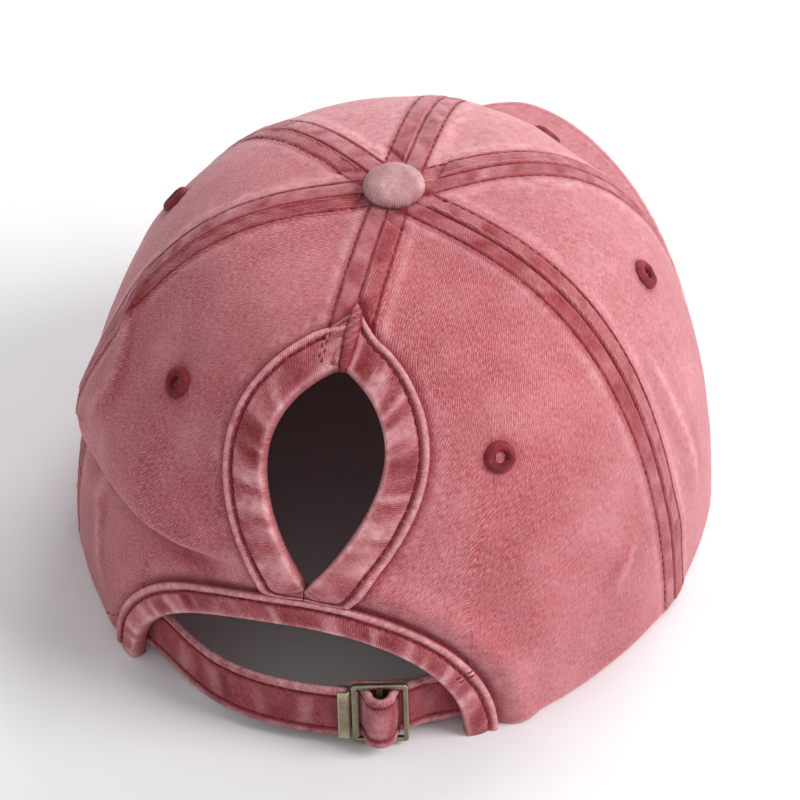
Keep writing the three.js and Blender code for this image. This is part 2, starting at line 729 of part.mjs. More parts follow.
// A flat strap along a track: rows of along, out and lift
function strapGeometry(track) {
  const half = STRAP_WIDTH / 2;
  const section = [[-half, -0.5], [-half, 0.5], [0, 0.5], [half, 0.5], [half, -0.5], [0, -0.5]];
  const rings = track.map(([along, out, lift], index) => {
    const before = track[Math.max(index - 1, 0)];
    const after = track[Math.min(index + 1, track.length - 1)];
    const run = after[0] - before[0];
    const rise = after[1] - before[1];
    const size = Math.hypot(run, rise);
    return section.map(([up, side]) => {
      const shift = side * STRAP_THICKNESS;
      return onTrack(
        along - shift * rise / size,
        out + shift * run / size,
        STRAP_CENTRE_HEIGHT + up + lift,
      );
    });
  });
  return sweptBar(rings, section);
}

function leftStrapTrack() {
  const start = LEFT_LEG - ARCH_BINDING_WIDTH;
  const end = CLAMP_START - CLAMP_SHEET - GAP;
  return [
    [start, STRAP_DEPTH_AT_LEG, 0], [LEFT_LEG, STRAP_DEPTH_AT_LEG, 0],
    [LEFT_LEG + LEG_CLEARANCE, STRAP_DEPTH_AT_LEG, 0],
    [LEFT_LEG * 0.74, STRAP_DEPTH_AT_LEG * 0.6, 0], [LEFT_LEG * 0.6, STRAP_DEPTH_AT_LEG * 0.15, 0],
    [LEFT_LEG * 0.46, 0, 0], [LEFT_LEG * 0.34, 0, 0], [LEFT_LEG * 0.22, 0, 0], [end, 0, 0],
  ];
}

function rightStrapTrack() {
  const bar = BUCKLE_HALF;
  const inside = BUCKLE_HALF - BUCKLE_BAR - BUCKLE_CLEARANCE;
  const tail = STRAP_TAIL_LIFT;
  return [
    [RIGHT_LEG + ARCH_BINDING_WIDTH, STRAP_DEPTH_AT_LEG, 0], [RIGHT_LEG, STRAP_DEPTH_AT_LEG, 0],
    [RIGHT_LEG - LEG_CLEARANCE, STRAP_DEPTH_AT_LEG, 0],
    [bar, UNDER_BAR, 0], [inside - 0.6, UNDER_BAR + 0.2, 0], [inside * 0.62, 0.8, 0],
    [inside * 0.42, LOOP_RISE * 0.75, 0], [0, LOOP_RISE, 0], [-inside * 0.42, LOOP_RISE * 0.75, 0],
    [-inside * 0.62, 0.8, 0], [0.6 - inside, UNDER_BAR + 0.2, 0], [-bar + 0.9, UNDER_BAR - 0.3, 0],
    [-bar + 0.2, (UNDER_BAR + TAIL_DEPTH) / 2, tail * 0.3], [-bar + 0.9, TAIL_DEPTH + 0.3, tail * 0.6],
    [-inside * 0.7, TAIL_DEPTH, tail * 0.8], [0, TAIL_DEPTH, tail], [bar, TAIL_DEPTH, tail],
    [lerp(bar, RIGHT_LEG, 0.6), TAIL_DEPTH - 0.4, tail], [RIGHT_LEG - 1, TAIL_DEPTH - 0.6, tail],
  ];
}

// A straight block on the buckle's track, square to the cloth at a seat: along, out and up from its middle
function buckleBlock(along, out, up, seatAlong = 0) {
  const size = [along[1] - along[0], out[1] - out[0], up[1] - up[0]];
  const block = new THREE.BoxGeometry(...size);
  const middle = (along[0] + along[1]) / 2 - seatAlong;
  block.translate(-middle, (out[0] + out[1]) / 2, (up[0] + up[1]) / 2);
  return block.applyMatrix4(trackFrame(seatAlong));
}

// A frame on the strap's track: its first axis runs back along the track
function trackFrame(along) {
  const azimuth = trackAzimuth(along);
  const share = shareAtHeight(STRAP_CENTRE_HEIGHT);
  const seat = foldedCrown(azimuth, share);
  const out = normalOf(foldedCrown, azimuth, share);
  const back = out.clone().cross(new THREE.Vector3(0, 0, 1)).normalize();
  const up = back.clone().cross(out).normalize();
  return new THREE.Matrix4().makeBasis(back, out, up).setPosition(seat);
}

function buckleFrameGeometry() {
  const half = BUCKLE_HALF;
  const tall = STRAP_WIDTH / 2 + 2 * GAP + BUCKLE_BAR;
  const out = [-BUCKLE_DEPTH / 2, BUCKLE_DEPTH / 2];
  return fusedGeometry([
    buckleBlock([-half, half], out, [tall - BUCKLE_BAR, tall]),
    buckleBlock([-half, half], out, [-tall, BUCKLE_BAR - tall]),
    buckleBlock([-half, BUCKLE_BAR - half], out, [-tall, tall]),
    buckleBlock([half - BUCKLE_BAR, half], out, [-tall, tall]),
    buckleBlock([-BUCKLE_BAR / 2, BUCKLE_BAR / 2], out, [-tall, tall]),
  ]);
}

// A sheet folded round the left strap's end
function buckleClampGeometry() {
  const start = CLAMP_START;
  const end = CLAMP_START - CLAMP_WIDTH;
  const middle = (start + end) / 2;
  const up = [-STRAP_WIDTH / 2, STRAP_WIDTH / 2];
  const near = STRAP_THICKNESS / 2 + GAP;
  const far = near + CLAMP_SHEET;
  return fusedGeometry([
    buckleBlock([end, start], [near, far], up, middle),
    buckleBlock([end, start], [-far, -near], up, middle),
    buckleBlock([start - CLAMP_SHEET, start], [-far, far], up, middle),
  ]);
}

// Peak

const PEAK_COLUMNS = 22;
const PEAK_SPANS = [0, 0.12, 0.35, 0.6, 0.82, 0.95, 1];

// Plan positions of the peak's inner and outer edge at a part from -1 to 1 of its width
function peakEdges(part) {
  const azimuth = radians(PEAK_HALF_ANGLE * part);
  const inner = new THREE.Vector2(
    Math.sin(azimuth) * (CROWN_HALF_WIDTH - CLOTH),
    -Math.cos(azimuth) * (CROWN_FRONT_REACH - CLOTH),
  );
  const turn = part * Math.PI / 2;
  const power = 2 / PEAK_OUTLINE_POWER;
  const root = Math.cos(radians(PEAK_HALF_ANGLE)) * CROWN_FRONT_REACH;
  const outer = new THREE.Vector2(
    Math.sign(part) * Math.abs(Math.sin(turn)) ** power * PEAK_HALF_WIDTH,
    -root - Math.abs(Math.cos(turn)) ** power * (CROWN_FRONT_REACH + PEAK_LENGTH - root),
  );
  const least = inner.clone().multiplyScalar(1 + (CLOTH + PEAK_END_OVERHANG) / inner.length());
  return { inner, outer: outer.length() > least.length() ? outer : least };
}

function peakGeometry() {
  const rows = [];
  for (let column = 0; column <= PEAK_COLUMNS; column += 1) {
    const { inner, outer } = peakEdges(2 * column / PEAK_COLUMNS - 1);
    rows.push(PEAK_SPANS.map((span) => inner.clone().lerp(outer, span)));
  }
  const bevel = (span) => PEAK_EDGE_BEVEL * Math.max(0, span - PEAK_BEVEL_START) / (1 - PEAK_BEVEL_START);
  const upper = rows.map((row) => row.map((spot, index) => (
    new THREE.Vector3(spot.x, spot.y, peakTop(spot.x, spot.y) - bevel(PEAK_SPANS[index])))));
  const lower = rows.map((row) => row.map((spot, index) => new THREE.Vector3(
    spot.x, spot.y, peakTop(spot.x, spot.y) - PEAK_THICKNESS + bevel(PEAK_SPANS[index]))));
  return slab(upper, lower);
}

// Sweatband: from one arch leg round the front to the other

const SWEATBAND_COLUMNS = 56;
const SWEATBAND_ROWS = [0, 0.5, 1];

function sweatbandGeometry() {
  const right = archEdge(90, ARCH_BINDING_WIDTH + GAP).azimuth;
  const left = archEdge(-90, ARCH_BINDING_WIDTH + GAP).azimuth + 360;
  const outer = [];
  const inner = [];
  for (const part of SWEATBAND_ROWS) {
    const columns = [];
    for (let column = 0; column <= SWEATBAND_COLUMNS; column += 1) {
      columns.push(lerp(right, left, column / SWEATBAND_COLUMNS));
    }
    const share = (azimuth) => {
      const foot = Math.max(SWEATBAND_SETBACK, rimHeight(azimuth) - PEAK_THICKNESS);
      return shareAtHeight(foot) - part * SWEATBAND_HEIGHT / CROWN_ARC;
    };
    const skin = -CLOTH - SWEATBAND_GAP;
    outer.push(columns.map((azimuth) => onCrown(azimuth, share(azimuth), skin)));
    inner.push(columns.map((azimuth) => onCrown(azimuth, share(azimuth), skin - SWEATBAND_THICKNESS)));
  }
  return slab(outer, inner);
}

// Assembly

function cloth(colour) {
  return new THREE.MeshStandardMaterial({ color: colour, roughness: 0.95, metalness: 0 });
}

const materials = {
  twill: cloth(COLOURS.twill),
  binding: cloth(COLOURS.binding),
  strap: cloth(COLOURS.strap),
  thread: cloth(COLOURS.thread),
  lining: cloth(COLOURS.lining),
  brass: new THREE.MeshStandardMaterial({ color: COLOURS.brass, roughness: 0.4, metalness: 0.9 }),
};

const cap = new THREE.Group();

function addPiece(name, geometry, material) {
  const mesh = new THREE.Mesh(geometry, material);
  mesh.name = name;
  cap.add(mesh);
}

function panelOf({ name, from, to }) {
  if (name === 'back_right') return backPanel(1);
  if (name === 'back_left') return backPanel(-1);
  return plainPanel(from, to);
}

for (const eyelet of EYELETS) {
  addPiece(`panel_${eyelet.name}`, panelWithEyelet(panelOf(eyelet), eyelet), materials.twill);
  addPiece(`eyelet_${eyelet.name}`, eyeletGeometry(eyelet), materials.thread);
}
addPiece('crown_button', buttonGeometry(), materials.twill);
addPiece('peak', peakGeometry(), materials.twill);
const rightHole = bindingGeometry(holeBindingStations(1), HOLE_BINDING_WIDTH);
const leftHole = bindingGeometry(holeBindingStations(-1), HOLE_BINDING_WIDTH);
addPiece('hole_binding_right', rightHole, materials.binding);
addPiece('hole_binding_left', leftHole, materials.binding);
addPiece('arch_binding', bindingGeometry(archBindingStations(), ARCH_BINDING_WIDTH), materials.binding);
addPiece('strap_left', strapGeometry(leftStrapTrack()), materials.strap);
addPiece('strap_right', strapGeometry(rightStrapTrack()), materials.strap);
addPiece('buckle_frame', buckleFrameGeometry(), materials.brass);
addPiece('buckle_clamp', buckleClampGeometry(), materials.brass);
addPiece('sweatband', sweatbandGeometry(), materials.lining);

// The origin is the middle of the whole box, on the surface that the cap stands on
const box = new THREE.Box3().setFromObject(cap);
const middle = box.getCenter(new THREE.Vector3());
cap.position.set(-middle.x, -middle.y, -box.min.z);

export default cap;
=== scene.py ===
import itertools
import math

import bmesh
import bpy
import numpy as np
from mathutils import Matrix, Vector


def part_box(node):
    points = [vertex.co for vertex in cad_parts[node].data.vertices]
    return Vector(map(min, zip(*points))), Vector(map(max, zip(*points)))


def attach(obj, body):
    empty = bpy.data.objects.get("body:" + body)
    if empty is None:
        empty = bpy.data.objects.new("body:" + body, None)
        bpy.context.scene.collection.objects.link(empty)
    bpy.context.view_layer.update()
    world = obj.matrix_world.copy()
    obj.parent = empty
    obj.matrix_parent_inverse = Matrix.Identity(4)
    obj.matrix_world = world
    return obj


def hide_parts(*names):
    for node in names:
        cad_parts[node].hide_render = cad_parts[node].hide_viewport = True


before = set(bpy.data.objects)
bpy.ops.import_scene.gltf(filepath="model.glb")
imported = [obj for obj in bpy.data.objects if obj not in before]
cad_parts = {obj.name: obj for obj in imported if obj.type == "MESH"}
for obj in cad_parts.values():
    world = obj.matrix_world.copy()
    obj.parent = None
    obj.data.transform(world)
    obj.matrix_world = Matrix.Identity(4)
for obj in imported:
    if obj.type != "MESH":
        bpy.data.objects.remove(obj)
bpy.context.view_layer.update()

MM = 0.001
BODY = "root"

# The part's own sizes, in millimetres
HALF_WIDTH = 88.0
FRONT_REACH = 94.0
BACK_REACH = 100.0
HEIGHT = 107.0
SHOULDER = 3.4
LEAN = 1.5
CLOTH = 1.2
GAP = 0.3
TOP_HOLE_RADIUS = 2.0
BAND_HALF_WIDTH = 6.5
BAND_RISE = 0.6
BUTTON_RADIUS = 8.25
BUTTON_HEIGHT = 4.6
EYELET_RADIUS = 4.3
EYELET_HOLE_RADIUS = 1.6
PEAK_THICKNESS = 3.2
PEAK_LENGTH = 67.0
PEAK_HALF_WIDTH = 75.0
PEAK_CENTRE_RISE = 18.0
PEAK_DROOP = 4.0
PEAK_OUTLINE_POWER = 1.6
PEAK_HALF_ANGLE = 57.0
PEAK_END_OVERHANG = 2.0
PEAK_RUN_OUT = 9.0
HOLE_TOP = 0.35
HOLE_WIDEST = 0.5
HOLE_BOTTOM = 0.7
HOLE_HALF_WIDTH = 15.8
HOLE_UPPER_POWER = 0.8
HOLE_LOWER_POWER = 1.7
HOLE_TIP_RISE = 6.0
HOLE_STOPS = [0.02, 0.07, 0.15, 0.26, 0.38, 0.5, 0.62, 0.73, 0.83, 0.91, 0.97]
BINDING_THICKNESS = 1.0
BINDING_GAP = 0.5
CUT_INSET = BINDING_THICKNESS + BINDING_GAP
HOLE_BINDING_WIDTH = 11.2
ARCH_CENTRE = -0.5
ARCH_LEFT_HALF_WIDTH = 55.0
ARCH_RIGHT_HALF_WIDTH = 43.0
ARCH_HEIGHT = 38.0
ARCH_BINDING_WIDTH = 8.5
STRAP_WIDTH = 16.0
STRAP_THICKNESS = 1.6
STRAP_CENTRE_HEIGHT = 11.3
STRAP_TAIL_LIFT = -1.0
BUCKLE_AZIMUTH = 13.0
BUCKLE_WIDTH = 15.0
BUCKLE_BAR = 1.4
BUCKLE_DEPTH = 1.6
BUCKLE_CLEARANCE = 0.5
CLAMP_WIDTH = 3.2
CLAMP_SHEET = 0.6
LOOP_RISE = 4.6
LEG_CLEARANCE = 9.0
SWEATBAND_HEIGHT = 30.0
SWEATBAND_THICKNESS = 1.0
SWEATBAND_SETBACK = 0.6
SWEATBAND_GAP = 0.6

# Seam azimuths at the top, half way down and at the rim
SEAMS = {
    "back": (2.5, 0.5, -2.0),
    "right_rear": (68.0, 71.5, 74.0),
    "right_front": (127.0, 125.0, 126.0),
    "front": (180.0, 180.0, 180.0),
    "left_front": (235.0, 236.0, 234.0),
    "left_rear": (287.0, 290.0, 290.0),
}

# Soft folds: azimuth, share, half length, half breadth, turn from level, lift, with lengths as shares
# of the crown's height. The first nine are the part's own.
FOLDS = [
    (-44, 0.65, 0.336, 0.121, 0, 0.0243),
    (-45, 0.775, 0.28, 0.131, 0, -0.0299),
    (-57, 0.83, 0.168, 0.103, 90, -0.014),
    (84, 0.7, 0.28, 0.103, 90, -0.015),
    (42, 0.86, 0.224, 0.121, 90, 0.0224),
    (31, 0.63, 0.206, 0.093, -8, -0.0093),
    (-88, 0.8, 0.243, 0.112, 70, -0.0168),
    (150, 0.55, 0.28, 0.131, 60, -0.015),
    (212, 0.6, 0.28, 0.131, -55, -0.0131),
    (61, 0.80, 0.10, 0.045, 48, 0.006),
    (80, 0.87, 0.12, 0.05, 40, 0.008),
    (36, 0.64, 0.17, 0.05, -18, -0.005),
    (24, 0.585, 0.10, 0.05, -10, 0.004),
    (100, 0.62, 0.20, 0.06, 75, 0.008),
    (-100, 0.55, 0.20, 0.06, 100, 0.006),
    (-63, 0.70, 0.26, 0.085, 90, 0.020),
    (185, 0.40, 0.70, 0.20, 0, -0.011),
]

# Creases: the line's knots, the lift and reach on its upper or far side, the same on its other side,
# and the sharpness of the step between them. A level line gives shares by azimuth, an upright one
# azimuths by share. Lifts, reaches and steps are in millimetres.
CREASES = [
    {"level": True, "azimuths": (-76, -68.5, -60.7, -53.4, -45.7, -34.5, -24.8, -17),
     "shares": (0.70, 0.702, 0.73, 0.733, 0.722, 0.715, 0.702, 0.692),
     "lift": 2.8, "reach": 11.0, "drop": -2.8, "drop_reach": 8.0, "step": 1.0, "fade": 9.0},
    {"level": False, "azimuths": (-55.2, -57.6, -58.1, -53.8, -49.5),
     "shares": (0.735, 0.79, 0.818, 0.881, 0.94),
     "lift": 1.2, "reach": 3.2, "drop": 1.2, "drop_reach": 5.0, "step": 1.0, "fade": 0.05},
    {"level": False, "azimuths": (-70, -68.5, -66.2, -61.7, -59.1, -58.5, -60),
     "shares": (0.44, 0.469, 0.497, 0.53, 0.564, 0.6, 0.66),
     "lift": 1.9, "reach": 3.4, "drop": 1.9, "drop_reach": 6.0, "step": 1.0, "fade": 0.05},
    {"level": False, "azimuths": (-79, -74, -69.8, -62, -55.5), "shares": (0.77, 0.74, 0.714, 0.70, 0.69),
     "lift": 0.0, "reach": 4.0, "drop": 0.7, "drop_reach": 4.0, "step": 1.0, "fade": 0.02},
    {"level": False, "azimuths": (82.1, 83.6, 86.1, 86.6), "shares": (0.55, 0.644, 0.752, 0.86),
     "lift": 1.0, "reach": 5.0, "drop": 1.0, "drop_reach": 3.5, "step": 1.0, "fade": 0.06},
    {"level": False, "azimuths": (63.4, 60.7, 58.0), "shares": (0.78, 0.802, 0.84),
     "lift": 0.7, "reach": 4.0, "drop": 0.7, "drop_reach": 2.5, "step": 1.0, "fade": 0.03},
]

CREASE_POWER = 1.5
# Wear and painted highlight along crease tops, painted shade under overhanging creases and beside upright
# ones
CREASE_WEAR_AND_HIGHLIGHT = 0.45
OVERHANG_SHADE = 0.6
CREASE_SHADE = 0.25

# Puffs of the cloth at the right and left of the arch's binding, in millimetres from its outer edge
ARCH_PUFF = 2.3
ARCH_PUFF_PLACE = 6.5
ARCH_PUFF_REACH = 4.5
LEFT_PUFF = 0.6
LEFT_PUFF_PLACE = 5
LEFT_PUFF_REACH = 3.5
ARCH_DIP = 0.5

# Sewing, in millimetres
STITCH_OFFSET = 5.5
STITCH_PITCH = 2.7
STITCH_LENGTH = 2.35
THREAD_RADIUS = 0.21
ROPE_WIDTH = 1.7
TAPE_STITCH_INSET = 2.4

# Camera, in millimetres about the crown's axis, and degrees
CAMERA_TARGET = (7.32, -32.67, 3.53)
CAMERA_DISTANCE = 1200.0
CAMERA_AZIMUTH = 195.1
CAMERA_ELEVATION = 41.54
CAMERA_ROLL = -1.62
CAMERA_LENS = 187.5
SENSOR_WIDTH = 36.0

# Small steps for differences along the surface
TURN_STEP = 0.4
SHARE_STEP = 0.003


def smoothstep(value, low, high):
    part = np.clip((np.asarray(value, float) - low) / (high - low), 0, 1)
    return part * part * (3 - 2 * part)


def bump(value, middle, reach):
    return np.exp(-((np.asarray(value, float) - middle) / reach) ** 2)


def lerp(low, high, part):
    return low + (high - low) * part


def fitted(*values):
    """Arrays of one shape from numbers and arrays."""
    return np.broadcast_arrays(*(np.asarray(value, float) for value in values))


def flat_place(along, beside):
    """Places on flat cloth, their third number 0."""
    return np.stack(fitted(along, beside, 0.0), -1)


def unit(vectors):
    return vectors / np.maximum(np.linalg.norm(vectors, axis=-1, keepdims=True), 1e-9)


def crown_axis():
    """The crown's axis at rim height in the part's frame, from where the button sits."""
    low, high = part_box("crown_button")
    seat = (HEIGHT + BAND_RISE + GAP) * MM
    return np.array([(low[0] + high[0]) / 2 + LEAN * MM, (low[1] + high[1]) / 2, low[2] - seat])


AXIS = crown_axis()

# Crown surface

PROFILE_STEPS = 400
PROFILE_TURNS = np.linspace(0, math.pi / 2, PROFILE_STEPS + 1)
RADII = np.sin(PROFILE_TURNS) ** (2 / SHOULDER)
HEIGHTS = np.cos(PROFILE_TURNS)
MEAN_REACH = (FRONT_REACH + BACK_REACH + 2 * HALF_WIDTH) / 4
RUNS = np.hypot(np.diff(RADII) * MEAN_REACH, np.diff(HEIGHTS) * HEIGHT)
LENGTHS = np.concatenate([[0], np.cumsum(RUNS)])
ARC = LENGTHS[-1]


def share_at_radius(radius):
    return float(np.interp(radius / HALF_WIDTH, RADII, LENGTHS) / ARC)


def share_at_height(height):
    return np.interp(np.asarray(height) / HEIGHT, HEIGHTS[::-1], LENGTHS[::-1]) / ARC


def plain_crown(azimuth, share):
    azimuth, share = fitted(azimuth, share)
    radius = np.interp(share * ARC, LENGTHS, RADII)
    height = np.interp(share * ARC, LENGTHS, HEIGHTS)
    turn = np.radians(azimuth)
    reach = np.where(np.cos(turn) > 0, BACK_REACH, FRONT_REACH)
    across = -np.sin(turn) * HALF_WIDTH * radius - LEAN * height
    return np.stack([across, np.cos(turn) * reach * radius, height * HEIGHT], -1)


def mm_per_degree(azimuth, share):
    azimuth = np.asarray(azimuth, float)
    step = plain_crown(azimuth + 0.5, share) - plain_crown(azimuth - 0.5, share)
    return np.linalg.norm(step, axis=-1)


def nearest_turn(azimuth):
    return np.mod(np.asarray(azimuth, float) + 180, 360) - 180


def fold_lift(azimuth, share):
    lift = 0
    for middle, level, half_length, half_breadth, turn, rise in FOLDS:
        across = nearest_turn(azimuth - middle) * mm_per_degree(middle, level)
        down = (share - level) * ARC
        turn = math.radians(turn)
        along = (across * math.cos(turn) + down * math.sin(turn)) / (half_length * HEIGHT)
        beside = (down * math.cos(turn) - across * math.sin(turn)) / (half_breadth * HEIGHT)
        lift = lift + rise * HEIGHT * np.exp(-along * along - beside * beside)
    return lift


def crease_place(crease, azimuth, share):
    """Distance in millimetres from a crease's line, and how strongly the crease shows there."""
    azimuth = nearest_turn(azimuth)
    if crease["level"]:
        run = azimuth
        ends = crease["azimuths"]
        distance = (np.interp(azimuth, ends, crease["shares"]) - share) * ARC
    else:
        run = share
        order = np.argsort(crease["shares"])
        ends = np.array(crease["shares"])[order]
        line = np.interp(share, ends, np.array(crease["azimuths"])[order])
        distance = (azimuth - line) * mm_per_degree(line, share)
    fade = crease["fade"]
    start = smoothstep(run, ends[0] - fade / 2, ends[0] + fade)
    return distance, start * (1 - smoothstep(run, ends[-1] - fade, ends[-1] + fade / 2))


def crease_lift(azimuth, share):
    lift = 0
    for crease in CREASES:
        distance, shown = crease_place(crease, azimuth, share)
        side = 0.5 + 0.5 * np.tanh(distance / crease["step"])
        upper = crease["lift"] * np.exp(-np.abs(distance / crease["reach"]) ** CREASE_POWER)
        lower = crease["drop"] * np.exp(-np.abs(distance / crease["drop_reach"]) ** CREASE_POWER)
        lift = lift + shown * (upper * side + lower * (1 - side))
    return lift


def crease_marks(azimuth, share):
    """Wear and painted highlight along the top of each crease, and painted shade under an overhanging
    crease and beside an upright one.
    """
    wear_and_highlight = dye_grime_and_shade = 0
    for crease in CREASES:
        distance, shown = crease_place(crease, azimuth, share)
        wear_and_highlight = wear_and_highlight + CREASE_WEAR_AND_HIGHLIGHT * shown * bump(distance, 0.8, 1.3)
        # Painted shade under an overhanging crease, and on both sides of an upright one
        if crease["drop"] < 0:
            dye_grime_and_shade = dye_grime_and_shade + OVERHANG_SHADE * shown * bump(distance, -3.5, 4.0)
        else:
            dye_grime_and_shade = dye_grime_and_shade + CREASE_SHADE * shown * bump(np.abs(distance), 5.0, 2.5)
    return wear_and_highlight, dye_grime_and_shade


def arch_distance(azimuth, share):
    """Rough distance in millimetres out from the arch's visible edge."""
    azimuth = nearest_turn(azimuth)
    half = np.where(azimuth < ARCH_CENTRE, ARCH_LEFT_HALF_WIDTH, ARCH_RIGHT_HALF_WIDTH)
    across = (azimuth - ARCH_CENTRE) * mm_per_degree(ARCH_CENTRE, 1) / half
    up = (1 - share) * ARC / ARCH_HEIGHT
    size = np.hypot(across, up)
    slope = np.hypot(across / half, up / ARCH_HEIGHT) / np.maximum(size, 1e-6)
    return (size - 1) / np.maximum(slope, 1e-6)


def arch_lift(azimuth, share):
    beyond = arch_distance(azimuth, share) - ARCH_BINDING_WIDTH
    azimuth = nearest_turn(azimuth)
    right = smoothstep(azimuth, -2, 12) * (1 - smoothstep(azimuth, 60, 80))
    puff = ARCH_PUFF * right * bump(beyond, ARCH_PUFF_PLACE, ARCH_PUFF_REACH)
    left = smoothstep(-azimuth, 20, 30) * (1 - smoothstep(-azimuth, 60, 80))
    puff = puff + LEFT_PUFF * left * bump(beyond, LEFT_PUFF_PLACE, LEFT_PUFF_REACH)
    return puff - ARCH_DIP * (right + left) * bump(beyond, 0.6, 1.6)


def surface(azimuth, share):
    """The crown's outer cloth with its folds."""
    azimuth, share = fitted(azimuth, share)
    point = plain_crown(azimuth, share)
    lift = fold_lift(azimuth, share) + crease_lift(azimuth, share) + arch_lift(azimuth, share)
    return point + normal_of(plain_crown, azimuth, share) * lift[..., None]


def normal_of(shape, azimuth, share):
    low = np.clip(share - SHARE_STEP, 0, 1)
    high = np.clip(share + SHARE_STEP, 0, 1)
    across = shape(azimuth + TURN_STEP, share) - shape(azimuth - TURN_STEP, share)
    down = shape(azimuth, high) - shape(azimuth, low)
    return unit(np.cross(down, across))


def on_crown(azimuth, share, height):
    azimuth, share, height = fitted(azimuth, share, height)
    return surface(azimuth, share) + normal_of(surface, azimuth, share) * height[..., None]


def seam_azimuth(seam, share):
    top, middle, rim = SEAMS[seam]
    share = np.asarray(share, float)
    return (top * 2 * (share - 0.5) * (share - 1) + middle * 4 * share * (1 - share)
            + rim * 2 * share * (share - 0.5))


def rim_plan(from_front, inset):
    turn = np.radians(from_front)
    return np.sin(turn) * (HALF_WIDTH - inset), -np.cos(turn) * (FRONT_REACH - inset)


def peak_top(x, y):
    across = np.clip(x / HALF_WIDTH, -1, 1)
    reach = FRONT_REACH * np.sqrt(1 - across * across)
    forward = np.maximum(0, -y - reach) / PEAK_LENGTH
    return PEAK_THICKNESS + PEAK_CENTRE_RISE * (1 - (x / PEAK_HALF_WIDTH) ** 2) - PEAK_DROOP * forward


def rim_height(azimuth):
    from_front = np.abs(nearest_turn(np.asarray(azimuth, float) - 180))
    x, y = rim_plan(np.minimum(from_front, PEAK_HALF_ANGLE), CLOTH)
    over = peak_top(x, y) + GAP
    return over * (1 - smoothstep(from_front, PEAK_HALF_ANGLE, PEAK_HALF_ANGLE + PEAK_RUN_OUT))


def rim_share(azimuth):
    return share_at_height(rim_height(azimuth))


def hole_half_width(share):
    share = np.asarray(share, float)
    rise = np.clip((HOLE_WIDEST - share) / (HOLE_WIDEST - HOLE_TOP), 0, 1)
    fall = np.clip((share - HOLE_WIDEST) / (HOLE_BOTTOM - HOLE_WIDEST), 0, 1)
    upper = (1 - rise ** 2) ** HOLE_UPPER_POWER
    lower = 1 - fall ** HOLE_LOWER_POWER
    return HOLE_HALF_WIDTH * np.where(share < HOLE_WIDEST, upper, lower)


def arch_edge(turn, outward):
    turn = np.asarray(turn, float)
    half = np.where(turn < 0, ARCH_LEFT_HALF_WIDTH, ARCH_RIGHT_HALF_WIDTH)
    across = (half + outward) * np.sin(np.radians(turn))
    up = (ARCH_HEIGHT + outward) * np.cos(np.radians(turn))
    return ARCH_CENTRE + across / mm_per_degree(ARCH_CENTRE, 1), 1 - up / ARC


def arch_share(azimuth, outward):
    azimuth = np.asarray(azimuth, float)
    half = np.where(azimuth < ARCH_CENTRE, ARCH_LEFT_HALF_WIDTH, ARCH_RIGHT_HALF_WIDTH) + outward
    across = np.clip((azimuth - ARCH_CENTRE) * mm_per_degree(ARCH_CENTRE, 1) / half, -1, 1)
    return 1 - (ARCH_HEIGHT + outward) * np.sqrt(1 - across * across) / ARC


# Seeded smooth noise

LATTICE = 32


def cloud(points, size, seed):
    """Smooth noise from -1 to 1 that changes over about the given size."""
    lattice = np.random.default_rng(seed).uniform(-1, 1, (LATTICE,) * 3)
    place = np.asarray(points, float) / size
    cell = np.floor(place).astype(int)
    part = place - cell
    part = part * part * (3 - 2 * part)
    total = 0
    for corner in itertools.product((0, 1), repeat=3):
        weight = np.prod(np.where(corner, part, 1 - part), axis=-1)
        index = np.mod(cell + corner, LATTICE)
        total = total + weight * lattice[index[..., 0], index[..., 1], index[..., 2]]
    return total


def ripple(along, beside, size, seed):
    """Smooth noise over flat cloth."""
    return cloud(flat_place(along, beside), size, seed)


# Wrinkles, crimps and patches of a strip of cloth: lean along it, squeeze across it, size in millimetres
CRUMPLES = {
    "band": [(0.5, 0.3, 3.4), (-0.6, 0.2, 1.9), (0.0, 0.5, 8.0)],
    "tape": [(0.5, 0.25, 2.9), (-0.5, 0.4, 1.6), (0.4, 0.5, 7.0)],
    "strap": [(0.2, 0.3, 3.2), (-0.4, 0.4, 1.7), (0.0, 0.45, 6.0)],
}


def crumples(kind, along, beside, seed):
    """Wrinkle, crimp and patch over a strip of cloth, each from -1 to 1."""
    return [ripple(along + lean * beside, squeeze * beside, size, seed + order)
            for order, (lean, squeeze, size) in enumerate(CRUMPLES[kind])]


def spline(rows, count):
    """Points evenly spaced in parameter along a smooth curve through rows of numbers."""
    rows = np.asarray(rows, float)
    ends = np.vstack([2 * rows[0] - rows[1], rows, 2 * rows[-1] - rows[-2]])
    place = np.linspace(0, len(rows) - 1, count)
    start = np.minimum(place.astype(int), len(rows) - 2)
    part = (place - start)[:, None]
    a, b, c, d = (ends[start + step] for step in range(4))
    bend = 2 * a - 5 * b + 4 * c - d
    twist = 3 * b - a - 3 * c + d
    return 0.5 * (2 * b + (c - a) * part + bend * part ** 2 + twist * part ** 3)


# Meshes


